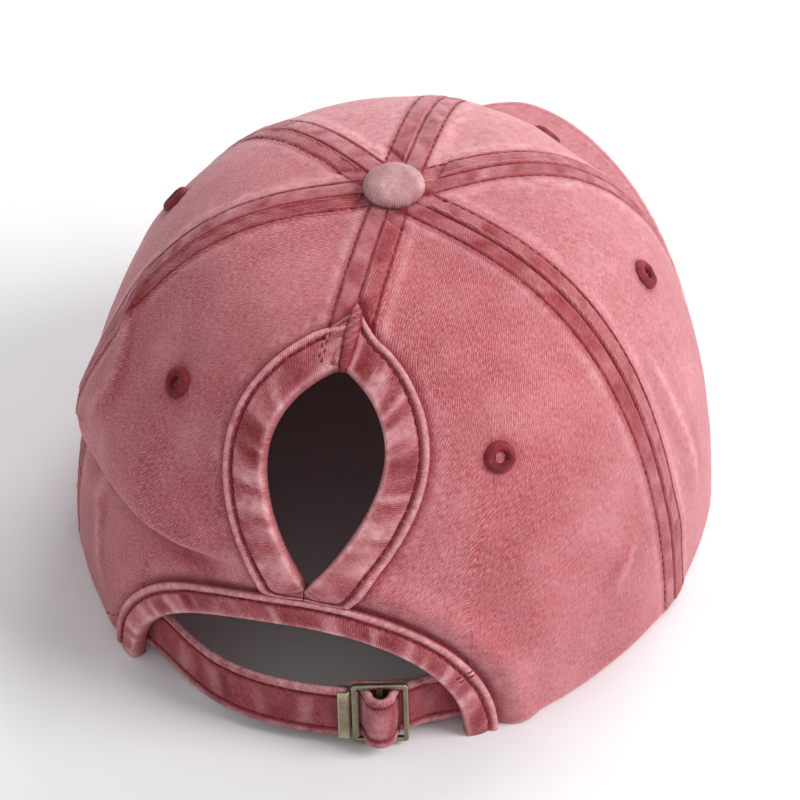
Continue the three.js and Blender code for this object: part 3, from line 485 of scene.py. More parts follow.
def make_piece(name, points, faces, material, replaces, marks, weave, smooth=True):
    """A closed mesh from points in millimetres about the crown's axis, with its marks and cloth places."""
    mesh = bpy.data.meshes.new(name)
    mesh.from_pydata((np.asarray(points) * MM + AXIS).tolist(), [], faces)
    for mark, values in marks.items():
        layer = mesh.attributes.new(mark, "FLOAT", "POINT")
        layer.data.foreach_set("value", np.clip(values, 0, 1).astype(np.float32))
    layer = mesh.attributes.new("weave", "FLOAT_VECTOR", "POINT")
    layer.data.foreach_set("vector", np.asarray(weave, np.float32).ravel())
    body = bmesh.new()
    body.from_mesh(mesh)
    loose = [vert for vert in body.verts if not vert.link_faces]
    bmesh.ops.delete(body, geom=loose, context="VERTS")
    openings = [edge for edge in body.edges if edge.is_boundary]
    if openings:
        bmesh.ops.bridge_loops(body, edges=openings)
    bmesh.ops.recalc_face_normals(body, faces=body.faces)
    body.to_mesh(mesh)
    body.free()
    mesh.polygons.foreach_set("use_smooth", np.full(len(mesh.polygons), smooth))
    mesh.materials.append(material)
    piece = bpy.data.objects.new(name, mesh)
    bpy.context.collection.objects.link(piece)
    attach(piece, BODY)
    if replaces:
        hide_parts(*replaces)
    return piece


EVERY_SECOND = (slice(None, None, 2), slice(None, None, 2))


def grid_faces(rows, columns, start=0):
    """Faces of a grid of points, and the grid of their numbers."""
    index = start + np.arange(rows * columns).reshape(rows, columns)
    quads = np.stack([index[:-1, :-1], index[:-1, 1:], index[1:, 1:], index[1:, :-1]], -1)
    return quads.reshape(-1, 4), index


def edge_strip(fine, coarse):
    """Faces that join a border of a fine grid to the same border at every second point."""
    faces = []
    for step in range(len(coarse) - 1):
        first, middle, last = fine[2 * step], fine[2 * step + 1], fine[2 * step + 2]
        faces.append([first, middle, coarse[step]])
        faces.append([middle, coarse[step + 1], coarse[step]])
        faces.append([middle, last, coarse[step + 1]])
    return faces


def wall(outer, inner):
    """A closed wall between a fine outer grid and an inner grid at every second point."""
    rows, columns = outer.shape[:2]
    fine_faces, fine = grid_faces(rows, columns)
    coarse_faces, coarse = grid_faces(*inner.shape[:2], start=rows * columns)
    faces = fine_faces.tolist() + coarse_faces.tolist()
    faces += edge_strip(fine[0], coarse[0]) + edge_strip(fine[-1], coarse[-1])
    faces += edge_strip(fine[:, 0], coarse[:, 0]) + edge_strip(fine[:, -1], coarse[:, -1])
    return np.vstack([outer.reshape(-1, 3), inner.reshape(-1, 3)]), faces


def on_wall(outer, inner=None):
    """Values for a wall's points, the inner ones taken from the outer ones unless they are given."""
    inner = outer[EVERY_SECOND] if inner is None else inner
    return np.concatenate([outer.ravel(), inner.ravel()])


def swept(rings, closed=False):
    """Points and faces of a bar through rings of points, its ends capped unless it closes on itself."""
    stations, corners = rings.shape[:2]
    index = np.arange(stations * corners).reshape(stations, corners)
    steps = stations if closed else stations - 1
    faces = []
    for station in range(steps):
        here = index[station]
        after = index[(station + 1) % stations]
        for corner in range(corners):
            across = (corner + 1) % corners
            faces.append([here[corner], here[across], after[across], after[corner]])
    if not closed:
        faces += [index[0].tolist(), index[-1].tolist()]
    return rings.reshape(-1, 3), [list(map(int, face)) for face in faces]


def joined(parts):
    """One list of points and faces from several."""
    points, faces, start = [], [], 0
    for some, more in parts:
        points.append(some)
        faces += [[corner + start for corner in face] for face in more]
        start += len(some)
    return np.vstack(points), faces


# Materials


class Shader:
    """Adds nodes to one material and links them; inputs may be sockets or plain values."""

    def __init__(self, name):
        self.material = bpy.data.materials.new(name)
        self.material.use_nodes = True
        self.tree = self.material.node_tree
        self.surface = self.tree.nodes["Principled BSDF"]

    def node(self, kind, inputs=(), **settings):
        made = self.tree.nodes.new("ShaderNode" + kind)
        for key, value in settings.items():
            setattr(made, key, value)
        for key, value in dict(inputs).items():
            self.put(made.inputs[key], value)
        return made

    def put(self, socket, value):
        if isinstance(value, bpy.types.NodeSocket):
            self.tree.links.new(value, socket)
        else:
            socket.default_value = value

    def mark(self, name):
        return self.node("Attribute", attribute_name=name, attribute_type="GEOMETRY").outputs["Fac"]

    def weave(self):
        return self.node("Attribute", attribute_name="weave", attribute_type="GEOMETRY").outputs["Vector"]

    def place(self):
        return self.node("TexCoord").outputs["Object"]

    def noise(self, vector, scale, detail=2.0, roughness=0.5):
        inputs = {"Vector": vector, "Scale": scale, "Detail": detail, "Roughness": roughness}
        return self.node("TexNoise", inputs).outputs["Fac"]

    def blots(self, scale, detail, roughness, low, high):
        """Noise through the cloth, stretched from 0 at the low value to 1 at the high one."""
        return self.stretch(self.noise(self.place(), scale, detail, roughness), low, high)

    def math(self, operation, first, second=0.0, third=0.0):
        made = self.node("Math", {0: first, 1: second, 2: third}, operation=operation)
        return made.outputs[0]

    def stretch(self, value, low, high, to_low=0.0, to_high=1.0):
        inputs = {"Value": value, "From Min": low, "From Max": high, "To Min": to_low, "To Max": to_high}
        return self.node("MapRange", inputs).outputs["Result"]

    def dot(self, vector, direction):
        made = self.node("VectorMath", {0: vector, 1: direction}, operation="DOT_PRODUCT")
        return made.outputs["Value"]

    def mix(self, factor, first, second):
        made = self.node("Mix", data_type="RGBA")
        self.put(made.inputs[0], factor)
        self.put(made.inputs[6], first)
        self.put(made.inputs[7], second)
        return made.outputs[2]

    def raise_surface(self, height, distance, strength):
        made = self.node("Bump", {"Height": height, "Distance": distance, "Strength": strength})
        self.put(self.surface.inputs["Normal"], made.outputs["Normal"])


TWILL_DRIFT = 2.5
TWILL_DRIFT_SCALE = 0.35
YARN_SQUEEZE = 0.3
YARN_SCALE = 2.4

# Scales of the marks on cloth, per metre
CLOUD_SCALE = 26.0
PATCH_SCALE = 120.0
STAIN_SCALE = 260.0
RUB_SCALE = 420.0
LINT_SCALE = 900.0
SPECK_SCALE = 2600.0
FUZZ_SCALE = 3200.0
LINT_COLOUR = (0.85, 0.72, 0.72, 1)
SPECK_DEPTH = 0.28
CLOTH_GRAIN = 0.00022


def twill_lines(shader, pitch, lean):
    """Ridges of a twill, 0 to 1, along a lean from the cloth's length, with a little unevenness."""
    weave = shader.weave()
    turn = 2 * math.pi / pitch
    phase = shader.dot(weave, (turn * math.cos(lean), turn * math.sin(lean), 0.0))
    drift = shader.noise(weave, TWILL_DRIFT_SCALE)
    phase = shader.math("MULTIPLY_ADD", drift, TWILL_DRIFT, phase)
    return shader.math("MULTIPLY_ADD", shader.math("SINE", phase), 0.5, 0.5)


def yarn_specks(shader, lean):
    """Uneven yarns, stretched along the twill's lines."""
    weave = shader.weave()
    across = shader.dot(weave, (math.cos(lean), math.sin(lean), 0.0))
    along = shader.dot(weave, (-math.sin(lean), math.cos(lean), 0.0))
    squeezed = shader.math("MULTIPLY", along, YARN_SQUEEZE)
    vector = shader.node("CombineXYZ", {"X": across, "Y": squeezed}).outputs[0]
    return shader.noise(vector, YARN_SCALE, 3.0, 0.6)


def cloth(name, twill, mottle, sheen, deep, base, faded, pale, dark, pitch=0.6, lean=0.6):
    """Washed cotton: clouds of fading, twill ridges, pale edges from wear and dye left in the grooves,
    with painted highlight along crease tops and painted shade in creases, beside bindings and under edges.
    """
    shader = Shader(name)
    colour = shader.mix(shader.blots(CLOUD_SCALE, 3.0, 0.55, 0.36, 0.64), deep, base)
    patches = shader.blots(PATCH_SCALE, 4.0, 0.6, 0.42, 0.7)
    colour = shader.mix(shader.math("MULTIPLY", patches, mottle), colour, faded)
    yarns = shader.stretch(yarn_specks(shader, lean), 0.35, 0.7)
    lines = twill_lines(shader, pitch, lean)
    light = shader.math("MULTIPLY", shader.math("MULTIPLY_ADD", lines, 0.75, 0.25), yarns)
    colour = shader.mix(shader.math("MULTIPLY", light, twill), colour, pale)
    specks = shader.blots(SPECK_SCALE, 2.0, 0.6, 0.35, 0.7)
    colour = shader.mix(shader.math("MULTIPLY", specks, SPECK_DEPTH), colour, dark)
    # The pale mix: wear, and painted highlight along crease tops
    rubbed = shader.blots(RUB_SCALE, 3.0, 0.6, 0.3, 0.65)
    wear_and_highlight = shader.math("MULTIPLY", shader.mark("wear_and_highlight"), shader.math("MULTIPLY_ADD", rubbed, 0.75, 0.35))
    colour = shader.mix(wear_and_highlight, colour, pale)
    # The dark mix: dye kept in seams and grooves, and painted shade in creases, beside bindings and under
    # edges
    stained = shader.blots(STAIN_SCALE, 3.0, 0.6, 0.3, 0.6)
    dye_grime_and_shade = shader.math("MULTIPLY", shader.mark("dye_grime_and_shade"), shader.math("MULTIPLY_ADD", stained, 0.35, 0.65))
    colour = shader.mix(dye_grime_and_shade, colour, dark)
    lint = shader.blots(LINT_SCALE, 1.0, 0.4, 0.80, 0.84)
    colour = shader.mix(shader.math("MULTIPLY", lint, 0.7), colour, LINT_COLOUR)
    fuzz = shader.noise(shader.place(), FUZZ_SCALE, 2.0, 0.6)
    height = shader.math("MULTIPLY_ADD", lines, 0.5, shader.math("MULTIPLY_ADD", yarns, 0.35, fuzz))
    shader.raise_surface(height, CLOTH_GRAIN, 0.8)
    inputs = shader.surface.inputs
    shader.put(inputs["Base Color"], colour)
    inputs["Roughness"].default_value = 0.93
    inputs["Specular IOR Level"].default_value = 0.15
    inputs["Sheen Weight"].default_value = sheen
    inputs["Sheen Roughness"].default_value = 0.4
    inputs["Sheen Tint"].default_value = (1.0, 0.78, 0.81, 1.0)
    return shader.material


THREAD_DARK = (0.14, 0.005, 0.010, 1)
THREAD_LIGHT = (0.29, 0.017, 0.028, 1)
FLUFF_COLOUR = (0.62, 0.25, 0.28, 1)
BRASS_DARK = (0.17, 0.148, 0.10, 1)
BRASS_LIGHT = (0.29, 0.255, 0.175, 1)
BRASS_RUBBED = (0.66, 0.58, 0.40, 1)
GRIME_COLOUR = (0.05, 0.035, 0.02, 1)
FLOOR_DARK = (0.84, 0.84, 0.852, 1)
FLOOR_LIGHT = (0.87, 0.87, 0.88, 1)


def thread_material():
    """Twisted crimson thread."""
    shader = Shader("crimson_thread")
    shades = shader.blots(300.0, 3.0, 0.6, 0.3, 0.7)
    colour = shader.mix(shades, THREAD_DARK, THREAD_LIGHT)
    fluff = shader.blots(1500.0, 2.0, 0.6, 0.62, 0.75)
    colour = shader.mix(shader.math("MULTIPLY", fluff, 0.35), colour, FLUFF_COLOUR)
    shader.put(shader.surface.inputs["Base Color"], colour)
    twist = shader.dot(shader.weave(), (9.0, 2.0, 0.0))
    plies = shader.math("MULTIPLY_ADD", shader.math("SINE", twist), 0.5, 0.5)
    shader.raise_surface(plies, 0.00008, 0.6)
    inputs = shader.surface.inputs
    inputs["Roughness"].default_value = 0.55
    inputs["Specular IOR Level"].default_value = 0.3
    inputs["Sheen Weight"].default_value = 0.05
    return shader.material


def brass_material():
    """Dull antique brass, brighter where its edges are rubbed."""
    shader = Shader("aged_brass")
    tarnish = shader.blots(500.0, 5.0, 0.65, 0.35, 0.65)
    colour = shader.mix(tarnish, BRASS_DARK, BRASS_LIGHT)
    rub = shader.blots(1500.0, 2.0, 0.5, 0.25, 0.6)
    edges = shader.math("MULTIPLY", shader.mark("wear_and_highlight"), shader.math("MULTIPLY_ADD", rub, 0.5, 0.5))
    colour = shader.mix(edges, colour, BRASS_RUBBED)
    grime = shader.math("MULTIPLY", shader.mark("dye_grime_and_shade"), 0.8)
    colour = shader.mix(grime, colour, GRIME_COLOUR)
    shader.put(shader.surface.inputs["Base Color"], colour)
    rough = shader.stretch(shader.noise(shader.place(), 900.0, 3.0, 0.6), 0.3, 0.7, 0.34, 0.52)
    shader.put(shader.surface.inputs["Roughness"], rough)
    shader.raise_surface(shader.noise(shader.place(), 2500.0, 3.0, 0.6), 0.00004, 0.6)
    shader.surface.inputs["Metallic"].default_value = 0.9
    return shader.material


def floor_material():
    """Plain pale floor."""
    shader = Shader("pale_floor")
    grain = shader.noise(shader.place(), 60.0, 3.0)
    colour = shader.mix(grain, FLOOR_DARK, FLOOR_LIGHT)
    shader.put(shader.surface.inputs["Base Color"], colour)
    shader.surface.inputs["Roughness"].default_value = 0.8
    return shader.material


TWILL = cloth(
    "washed_twill", twill=0.85, mottle=0.35, sheen=0.55,
    deep=(0.36, 0.042, 0.050, 1), base=(0.45, 0.075, 0.088, 1), faded=(0.55, 0.150, 0.168, 1),
    pale=(0.84, 0.43, 0.455, 1), dark=(0.25, 0.014, 0.022, 1))
BUTTON_CLOTH = cloth(
    "fuzzy_button", twill=0.45, mottle=0.5, sheen=0.35,
    deep=(0.34, 0.13, 0.14, 1), base=(0.42, 0.185, 0.195, 1), faded=(0.48, 0.24, 0.25, 1),
    pale=(0.64, 0.38, 0.39, 1), dark=(0.22, 0.04, 0.05, 1))
BINDING_TAPE = cloth(
    "binding_tape", twill=0.75, mottle=0.4, sheen=0.12, pitch=0.62, lean=0.35,
    deep=(0.30, 0.028, 0.036, 1), base=(0.44, 0.072, 0.084, 1), faded=(0.57, 0.165, 0.182, 1),
    pale=(0.82, 0.42, 0.44, 1), dark=(0.19, 0.010, 0.016, 1))
STRAP_TWILL = cloth(
    "strap_twill", twill=0.4, mottle=0.5, sheen=0.1, pitch=0.62, lean=0.35,
    deep=(0.22, 0.015, 0.022, 1), base=(0.31, 0.035, 0.045, 1), faded=(0.45, 0.115, 0.13, 1),
    pale=(0.74, 0.38, 0.40, 1), dark=(0.12, 0.008, 0.014, 1))
INNER_CLOTH = cloth(
    "inner_band", twill=0.3, mottle=0.4, sheen=0.1,
    deep=(0.36, 0.12, 0.14, 1), base=(0.44, 0.17, 0.19, 1), faded=(0.52, 0.25, 0.27, 1),
    pale=(0.62, 0.36, 0.38, 1), dark=(0.18, 0.03, 0.04, 1))
THREAD = thread_material()
BRASS = brass_material()

# Crown panels

# Each eyelet's panel by its two seams, its part of the way between them, and its share
EYELETS = {
    "back_right": ("back", "right_rear", 0.53, 0.515),
    "side_right": ("right_rear", "right_front", 0.5, 0.475),
    "front_right": ("right_front", "front", 0.55, 0.475),
    "front_left": ("front", "left_front", 0.5, 0.5),
    "side_left": ("left_front", "left_rear", 0.48, 0.45),
    "back_left": ("left_rear", "back", 0.42, 0.48),
}

# How much paler each pair of panels is than the back pair
PANEL_PALENESS = {"front": 0.45, "side": 0.22, "back": 0.0}

PANEL_ROWS = 191
PANEL_COLUMNS = 131
PANEL_WIDTH = 85.0
BAND_SPACE = 9.0
BAND_COLUMNS = 0.27
BACK_PANEL_ROWS = 211
ARCH_COLUMNS = 70
BEYOND_COLUMNS = 81
SEAM_GAP = 0.002
TOP_SHARE = share_at_radius(TOP_HOLE_RADIUS)
BACK_BAND_FADE = 1.2

# Seam bands in millimetres: how deep the seam and the stitch line lie, and the swell just outside a band
SEAM_DEPTH = 0.5
SEAM_REACH = 0.38
STITCH_DEPTH = 0.42
STITCH_REACH = 0.42
BAND_PUFF = 0.16
BAND_LIP = 0.3
OUTSIDE_PLACE = 2.6
OUTSIDE_REACH = 1.9
OUTSIDE_SWELL = 0.34
RIDGE_PLACE = STITCH_OFFSET - 1.2
RIDGE_HEIGHT = 0.12
SEAM_DYE = 0.85
BAND_DYE = 0.42


def eyelet_place(name):
    start, end, part, share = EYELETS[name]
    first = seam_azimuth(start, share)
    last = seam_azimuth(end, share) + (360 if end == "back" else 0)
    return float(lerp(first, last, part)), share


def band_relief(distance, along, seed, shown, lipped):
    """Height over the cloth, wear and dye of a seam band, by the distance to its seam line."""
    wrinkle, crimp, patch = crumples("band", along, distance, seed)
    flat = 1 - smoothstep(distance, STITCH_OFFSET + 0.2, BAND_HALF_WIDTH + 0.7)
    inside = smoothstep(distance, 0.4, 1.4) * (1 - smoothstep(distance, 4.2, 5.2))
    puff = BAND_PUFF * np.sin(math.pi * np.clip(distance / STITCH_OFFSET, 0, 1))
    seam = bump(distance, 0, SEAM_REACH)
    line = bump(distance, STITCH_OFFSET, STITCH_REACH)
    outside = bump(distance, STITCH_OFFSET + OUTSIDE_PLACE, OUTSIDE_REACH)
    rise = (BAND_RISE + puff) * flat - SEAM_DEPTH * seam - STITCH_DEPTH * line * (1 + 0.4 * crimp)
    rise = rise + (0.2 * wrinkle + 0.1 * crimp) * inside + outside * (OUTSIDE_SWELL + 0.18 * wrinkle)
    rise = rise + BAND_LIP * lipped * bump(distance, 0.9, 0.45)
    rise = rise + RIDGE_HEIGHT * bump(distance, RIDGE_PLACE, 0.6) * crimp
    wear_and_highlight = lipped * bump(distance, 1.0, 0.5) * (1.0 + 0.5 * crimp)
    wear_and_highlight = wear_and_highlight + 0.45 * inside * np.clip(wrinkle + 0.4 * patch, 0, 1)
    wear_and_highlight = wear_and_highlight + 0.3 * outside * (0.9 + 0.5 * wrinkle)
    wear_and_highlight = wear_and_highlight + 0.25 * bump(distance, RIDGE_PLACE, 0.5) * (0.6 + crimp)
    dye_grime_and_shade = SEAM_DYE * (line + seam) + 0.45 * inside * np.clip(-wrinkle - 0.3 * patch + 0.25, 0, 1)
    dye_grime_and_shade = dye_grime_and_shade + BAND_DYE * flat
    return rise * shown, np.clip(wear_and_highlight, 0, 1) * shown, np.clip(dye_grime_and_shade, 0, 1) * shown


# How far beyond a band its relief takes over from the panel's own, and where it ends, in millimetres
BESIDE_BAND = 3
BAND_REACH = 12
PANEL_WAVES = 0.28
PANEL_RIPPLES = 0.12


def panel_relief(seams, azimuth, share):
    """Height over the crown surface, wear and dye over a panel."""
    scale = mm_per_degree(azimuth, share)
    along = share * ARC
    point = plain_crown(azimuth, share)
    wide, narrow = cloud(point, 17.0, 5), cloud(point, 7.0, 6)
    rise = PANEL_WAVES * wide + PANEL_RIPPLES * narrow
    wear_and_highlight, dye_grime_and_shade = crease_marks(azimuth, share)
    wear_and_highlight = wear_and_highlight + 0.25 * np.clip(wide + 0.5 * narrow, 0, 1)
    near = np.zeros_like(rise)
    for seam in seams:
        distance = np.abs(nearest_turn(azimuth - seam_azimuth(seam, share))) * scale
        lipped = 1.0 if seam == seams[0] else 0.0
        seed = 20 + 3 * list(SEAMS).index(seam) + int(200 * lipped)
        shown = np.ones_like(share)
        if seam == "back":
            beyond = (share - tape_top(azimuth)) * ARC
            shown = 1 - smoothstep(beyond, -BACK_BAND_FADE, BACK_BAND_FADE / 2)
        more, rubbed, stained = band_relief(distance, along, seed, shown, lipped)
        beside = 1 - smoothstep(distance, BAND_HALF_WIDTH, BAND_HALF_WIDTH + BESIDE_BAND)
        near = np.maximum(near, shown * beside)
        wear_and_highlight = wear_and_highlight * (1 - near) + rubbed
        rise = np.where(shown * (distance < BAND_REACH) > 0, rise * (1 - near) + more, rise)
        dye_grime_and_shade = dye_grime_and_shade + stained
    return rise, wear_and_highlight, dye_grime_and_shade


EYELET_GATHERS = 9
EYELET_PULL = 0.35
EYELET_DARKENING = 0.5


def eyelet_marks(name, azimuth, share, rise, dye_grime_and_shade):
    """The cloth round an eyelet is drawn in and darker round the ring."""
    middle, level = eyelet_place(name)
    across = nearest_turn(azimuth - middle) * mm_per_degree(middle, level)
    distance = np.hypot(across, (share - level) * ARC)
    angle = np.arctan2(across, (share - level) * ARC)
    pull = bump(distance, EYELET_RADIUS + 0.8, 1.6) * (0.8 + 0.35 * np.sin(EYELET_GATHERS * angle))
    rise = rise * smoothstep(distance, 2, 9) - EYELET_PULL * pull
    return rise, dye_grime_and_shade + EYELET_DARKENING * bump(distance, EYELET_RADIUS - 0.2, 1.3), distance


# Cloth beside the bindings, in millimetres: how far the dip and the crimps reach, and their depths
DIP_REACH = 1.5
DIP_DEPTH = 0.35
# Painted shade in the dip beside a binding's edge
DIP_SHADE = 0.75
CRIMP_PLACE = 3.0
CRIMP_REACH = 2.0
CRIMP_HEIGHT = 0.14


def binding_marks(azimuth, share, rise, wear_and_highlight, dye_grime_and_shade):
    """Cloth beside the bindings dips under their edges, with painted shade and less wear in the dip."""
    outline = hole_outline()
    scale = mm_per_degree(0.0, share)
    across = (nearest_turn(azimuth)[..., None] - outline[:, 0]) * scale[..., None]
    down = (share[..., None] - outline[:, 1]) * ARC
    distance = np.sqrt((across ** 2 + down ** 2).min(-1))
    beyond = np.abs(arch_distance(azimuth, share) - ARCH_BINDING_WIDTH)
    close = np.maximum(bump(distance, 0, DIP_REACH), bump(beyond, 0, DIP_REACH))
    crimp = ripple(azimuth * 1.5, share * ARC, 2.6, 77)
    around = np.maximum(bump(distance, CRIMP_PLACE, CRIMP_REACH), bump(beyond, CRIMP_PLACE, CRIMP_REACH))
    rise = rise * (1 - close) - DIP_DEPTH * close + CRIMP_HEIGHT * around * crimp
    wear_and_highlight = wear_and_highlight + 0.22 * around * np.clip(crimp + 0.3, 0, 1)
    # Painted shade in the dip along each binding's edge
    return rise, wear_and_highlight * (1 - 0.7 * close), dye_grime_and_shade + DIP_SHADE * close


# A share below every rim, for cloth that isn't under a tape or has no turned rim
BELOW_ALL = 9.0
UPPER_STATIONS = 7


def hole_outline():
    """The outer edges of the hole's two bindings as places on the crown."""
    lines = [hole_stations(side)[:, 2:] for side in (-1, 1)]
    return np.vstack([spline(line, 60) for line in lines])


def tape_top(azimuth):
    """The share where the crown's cloth goes under the upper part of the hole's bindings."""
    left, right = (hole_stations(side)[:UPPER_STATIONS, 2:] for side in (-1, 1))
    line = np.vstack([spline(left, 50)[::-1], spline(right, 50)])
    return np.interp(nearest_turn(azimuth), line[:, 0], line[:, 1], left=BELOW_ALL, right=BELOW_ALL)


# The turned rim, in millimetres: how far up and in it rounds, and the height of its fold
HEM_RISE = 1.4
HEM_DEPTH = 0.66
HEM_ROW = 2.4


def hem(share, foot, azimuth):
    """The turned rim: how far the outer cloth rounds in, and its wear, near the lower edge."""
    height = (foot - share) * ARC
    up = np.clip(height / HEM_RISE, 0, 1)
    round_in = HEM_DEPTH * (1 - np.sqrt(up * (2 - up)))
    fold = bump(height, HEM_ROW, 1.2) * (0.10 + 0.08 * ripple(azimuth * 1.5, 0, 4.0, 61))
    return fold - round_in, 0.5 * bump(height, 0.4, 0.8)


def panel_piece(name, seams, azimuth, share, foot):
    rise, wear_and_highlight, dye_grime_and_shade = panel_relief(seams, azimuth, share)
    if name.startswith("back"):
        rise, wear_and_highlight, dye_grime_and_shade = binding_marks(azimuth, share, rise, wear_and_highlight, dye_grime_and_shade)
    rise, dye_grime_and_shade, from_eyelet = eyelet_marks(name, azimuth, share, rise, dye_grime_and_shade)
    rounding, edge_wear = hem(share, foot, azimuth)
    outer = on_crown(azimuth, share, rise + rounding)
    wear_and_highlight = wear_and_highlight + edge_wear + PANEL_PALENESS[name.split("_")[0]]
    inner = on_crown(azimuth[EVERY_SECOND], share[EVERY_SECOND], -CLOTH)
    floor = rim_height(azimuth[-1])
    level = share[-1] >= rim_share(azimuth[-1]) - 1e-6
    outer[-1, :, 2] = np.where(level, floor, outer[-1, :, 2])
    inner[-1, :, 2] = np.where(level[::2], floor[::2], inner[-1, :, 2])
    points, faces = wall(outer, inner)
    hole = on_wall(from_eyelet) < EYELET_HOLE_RADIUS + 0.9
    faces = [face for face in faces if not hole[face].all()]
    inside = np.zeros(inner.shape[:2])
    marks = {"wear_and_highlight": on_wall(wear_and_highlight, inside), "dye_grime_and_shade": on_wall(dye_grime_and_shade, inside + 0.3)}
    middle = azimuth.mean(axis=1, keepdims=True)
    across = (azimuth - middle) * mm_per_degree(azimuth, share)
    weave = on_wall(flat_place(across, share * ARC))
    make_piece(f"cloth_{name}", points, faces, TWILL, [f"panel_{name}"], marks, weave)


def seam_spaced():
    """A plain panel's columns from 0 to 1, closer together along its two seam bands."""
    edge = BAND_SPACE / PANEL_WIDTH
    ends = [0, BAND_COLUMNS, 1 - BAND_COLUMNS, 1]
    return np.interp(np.linspace(0, 1, PANEL_COLUMNS), ends, [0, edge, 1 - edge, 1])


def plain_panel(name):
    start, end = EYELETS[name][:2]
    column = seam_spaced()
    row = np.linspace(0, 1, PANEL_ROWS)[:, None]

    def between(share):
        first = seam_azimuth(start, share)
        last = seam_azimuth(end, share)
        trim = SEAM_GAP / 2 / mm_per_degree(first, share)
        return lerp(first + trim, last - trim, column)

    foot = rim_share(between(np.ones(1)))
    share = lerp(TOP_SHARE, foot, row)
    azimuth = between(share)
    panel_piece(name, (start, end), azimuth, share, np.broadcast_to(foot, share.shape))


def cut_half_width(share):
    top = HOLE_TOP - CUT_INSET / ARC
    bottom = HOLE_BOTTOM + CUT_INSET / ARC
    part = np.clip((share - top) / (bottom - top), 0, 1)
    seen = lerp(HOLE_TOP, HOLE_BOTTOM, part)
    open_cut = hole_half_width(seen) + CUT_INSET * np.sqrt(np.sin(part * math.pi))
    return np.where((part > 0) & (part < 1), np.maximum(SEAM_GAP / 2, open_cut), SEAM_GAP / 2)


def back_edges(side, share):
    seam = "right_rear" if side > 0 else "left_rear"
    scale = mm_per_degree(0.0, share)
    inner = seam_azimuth("back", share) + side * cut_half_width(share) / scale
    outer = nearest_turn(seam_azimuth(seam, share)) - side * SEAM_GAP / 2 / scale
    return inner, outer


def back_panel(name):
    side = 1 if name == "back_right" else -1
    turns = np.degrees(np.arcsin(np.linspace(0, 1, ARCH_COLUMNS)))
    feet = arch_edge(side * turns, CUT_INSET)[0]
    feet[0] = seam_azimuth("back", arch_share(feet[0], CUT_INSET))
    end = back_edges(side, np.ones(()))[1]
    beyond = np.interp(np.linspace(0, 1, BEYOND_COLUMNS + 1)[1:], [0, 0.72, 1], [0, 0.86, 1])
    feet = np.concatenate([feet, lerp(feet[-1], end, beyond)])
    foot = np.where(np.arange(len(feet)) >= ARCH_COLUMNS - 1, 1.0, arch_share(feet, CUT_INSET))
    inner, outer = back_edges(side, foot)
    column = np.clip((feet - inner) / (outer - inner), 0, 1)
    row = np.linspace(0, 1, BACK_PANEL_ROWS)[:, None]
    share = lerp(TOP_SHARE, foot, row)
    inner, outer = back_edges(side, share)
    azimuth = lerp(inner, outer, column)
    seams = ("back", "right_rear") if side > 0 else ("left_rear", "back")
    panel_piece(name, seams, azimuth, share, np.where(foot >= 1, foot, BELOW_ALL) + 0 * share)


# Bindings and straps


def beside_hole(side, share, distance):
    step = 0.004
    scale = mm_per_degree(0.0, share)

    def edge(level):
        half = np.maximum(hole_half_width(level), GAP / 2)
        return seam_azimuth("back", level) + side * half / mm_per_degree(0.0, level)

    across = (edge(share + step) - edge(share - step)) * scale
    down = 2 * step * ARC
    size = np.hypot(across, down)
    azimuth = edge(share) + side * distance * down / size / scale
    return edge(share), azimuth, share - side * distance * across / size / ARC


def hole_stations(side):
    """Rows of fold azimuth, fold share, edge azimuth and edge share down one side of the hole."""
    def middle(share):
        return float(seam_azimuth("back", share) + side * GAP / 2 / mm_per_degree(0.0, share))

    def floor(azimuth):
        return float(arch_share(azimuth, ARCH_BINDING_WIDTH + GAP))

    tip = HOLE_TOP - (HOLE_BINDING_WIDTH + (HOLE_TIP_RISE if side > 0 else 0)) / ARC
    rows = [(middle(HOLE_TOP), HOLE_TOP, middle(tip), tip)]
    for part in HOLE_STOPS:
        share = lerp(HOLE_TOP, HOLE_BOTTOM, part)
        fold, azimuth, edge_share = beside_hole(side, share, HOLE_BINDING_WIDTH)
        rows.append((float(fold), share, float(azimuth), min(float(edge_share), floor(azimuth))))
    foot = floor(middle(HOLE_BOTTOM))
    rows.append((middle(HOLE_BOTTOM), HOLE_BOTTOM, middle(foot), foot))
    return np.array(rows)


def arch_stations(count):
    turns = np.linspace(-90, 90, count)
    fold = arch_edge(turns, 0)
    edge = arch_edge(turns, ARCH_BINDING_WIDTH)
    return np.stack([fold[0], fold[1], edge[0], edge[1]], -1)


TAPE_TOP_POINTS = 30
TAPE_SWELL = 0.25
TAPE_WRINKLE = 0.27
ROPE_HEIGHT = 0.5
ROPE_PITCH = 1.9
ROPE_SLANT = 0.9


def rope_round(from_edge, middle, half):
    """A round cross-section, 1 at its middle and 0 at its sides."""
    return np.sqrt(np.clip(1 - ((from_edge - middle) / half) ** 2, 0, 1))


def strand_waves(along, beside, pitch, drift=0.0, seed=0):
    """Slanting strands of a rope-like fold, -1 to 1, their spacing drifting by a seeded ripple."""
    wander = drift * ripple(along, 0, 5.0, seed) if drift else 0.0
    return np.sin(2 * math.pi * (along + ROPE_SLANT * beside) / pitch + wander)


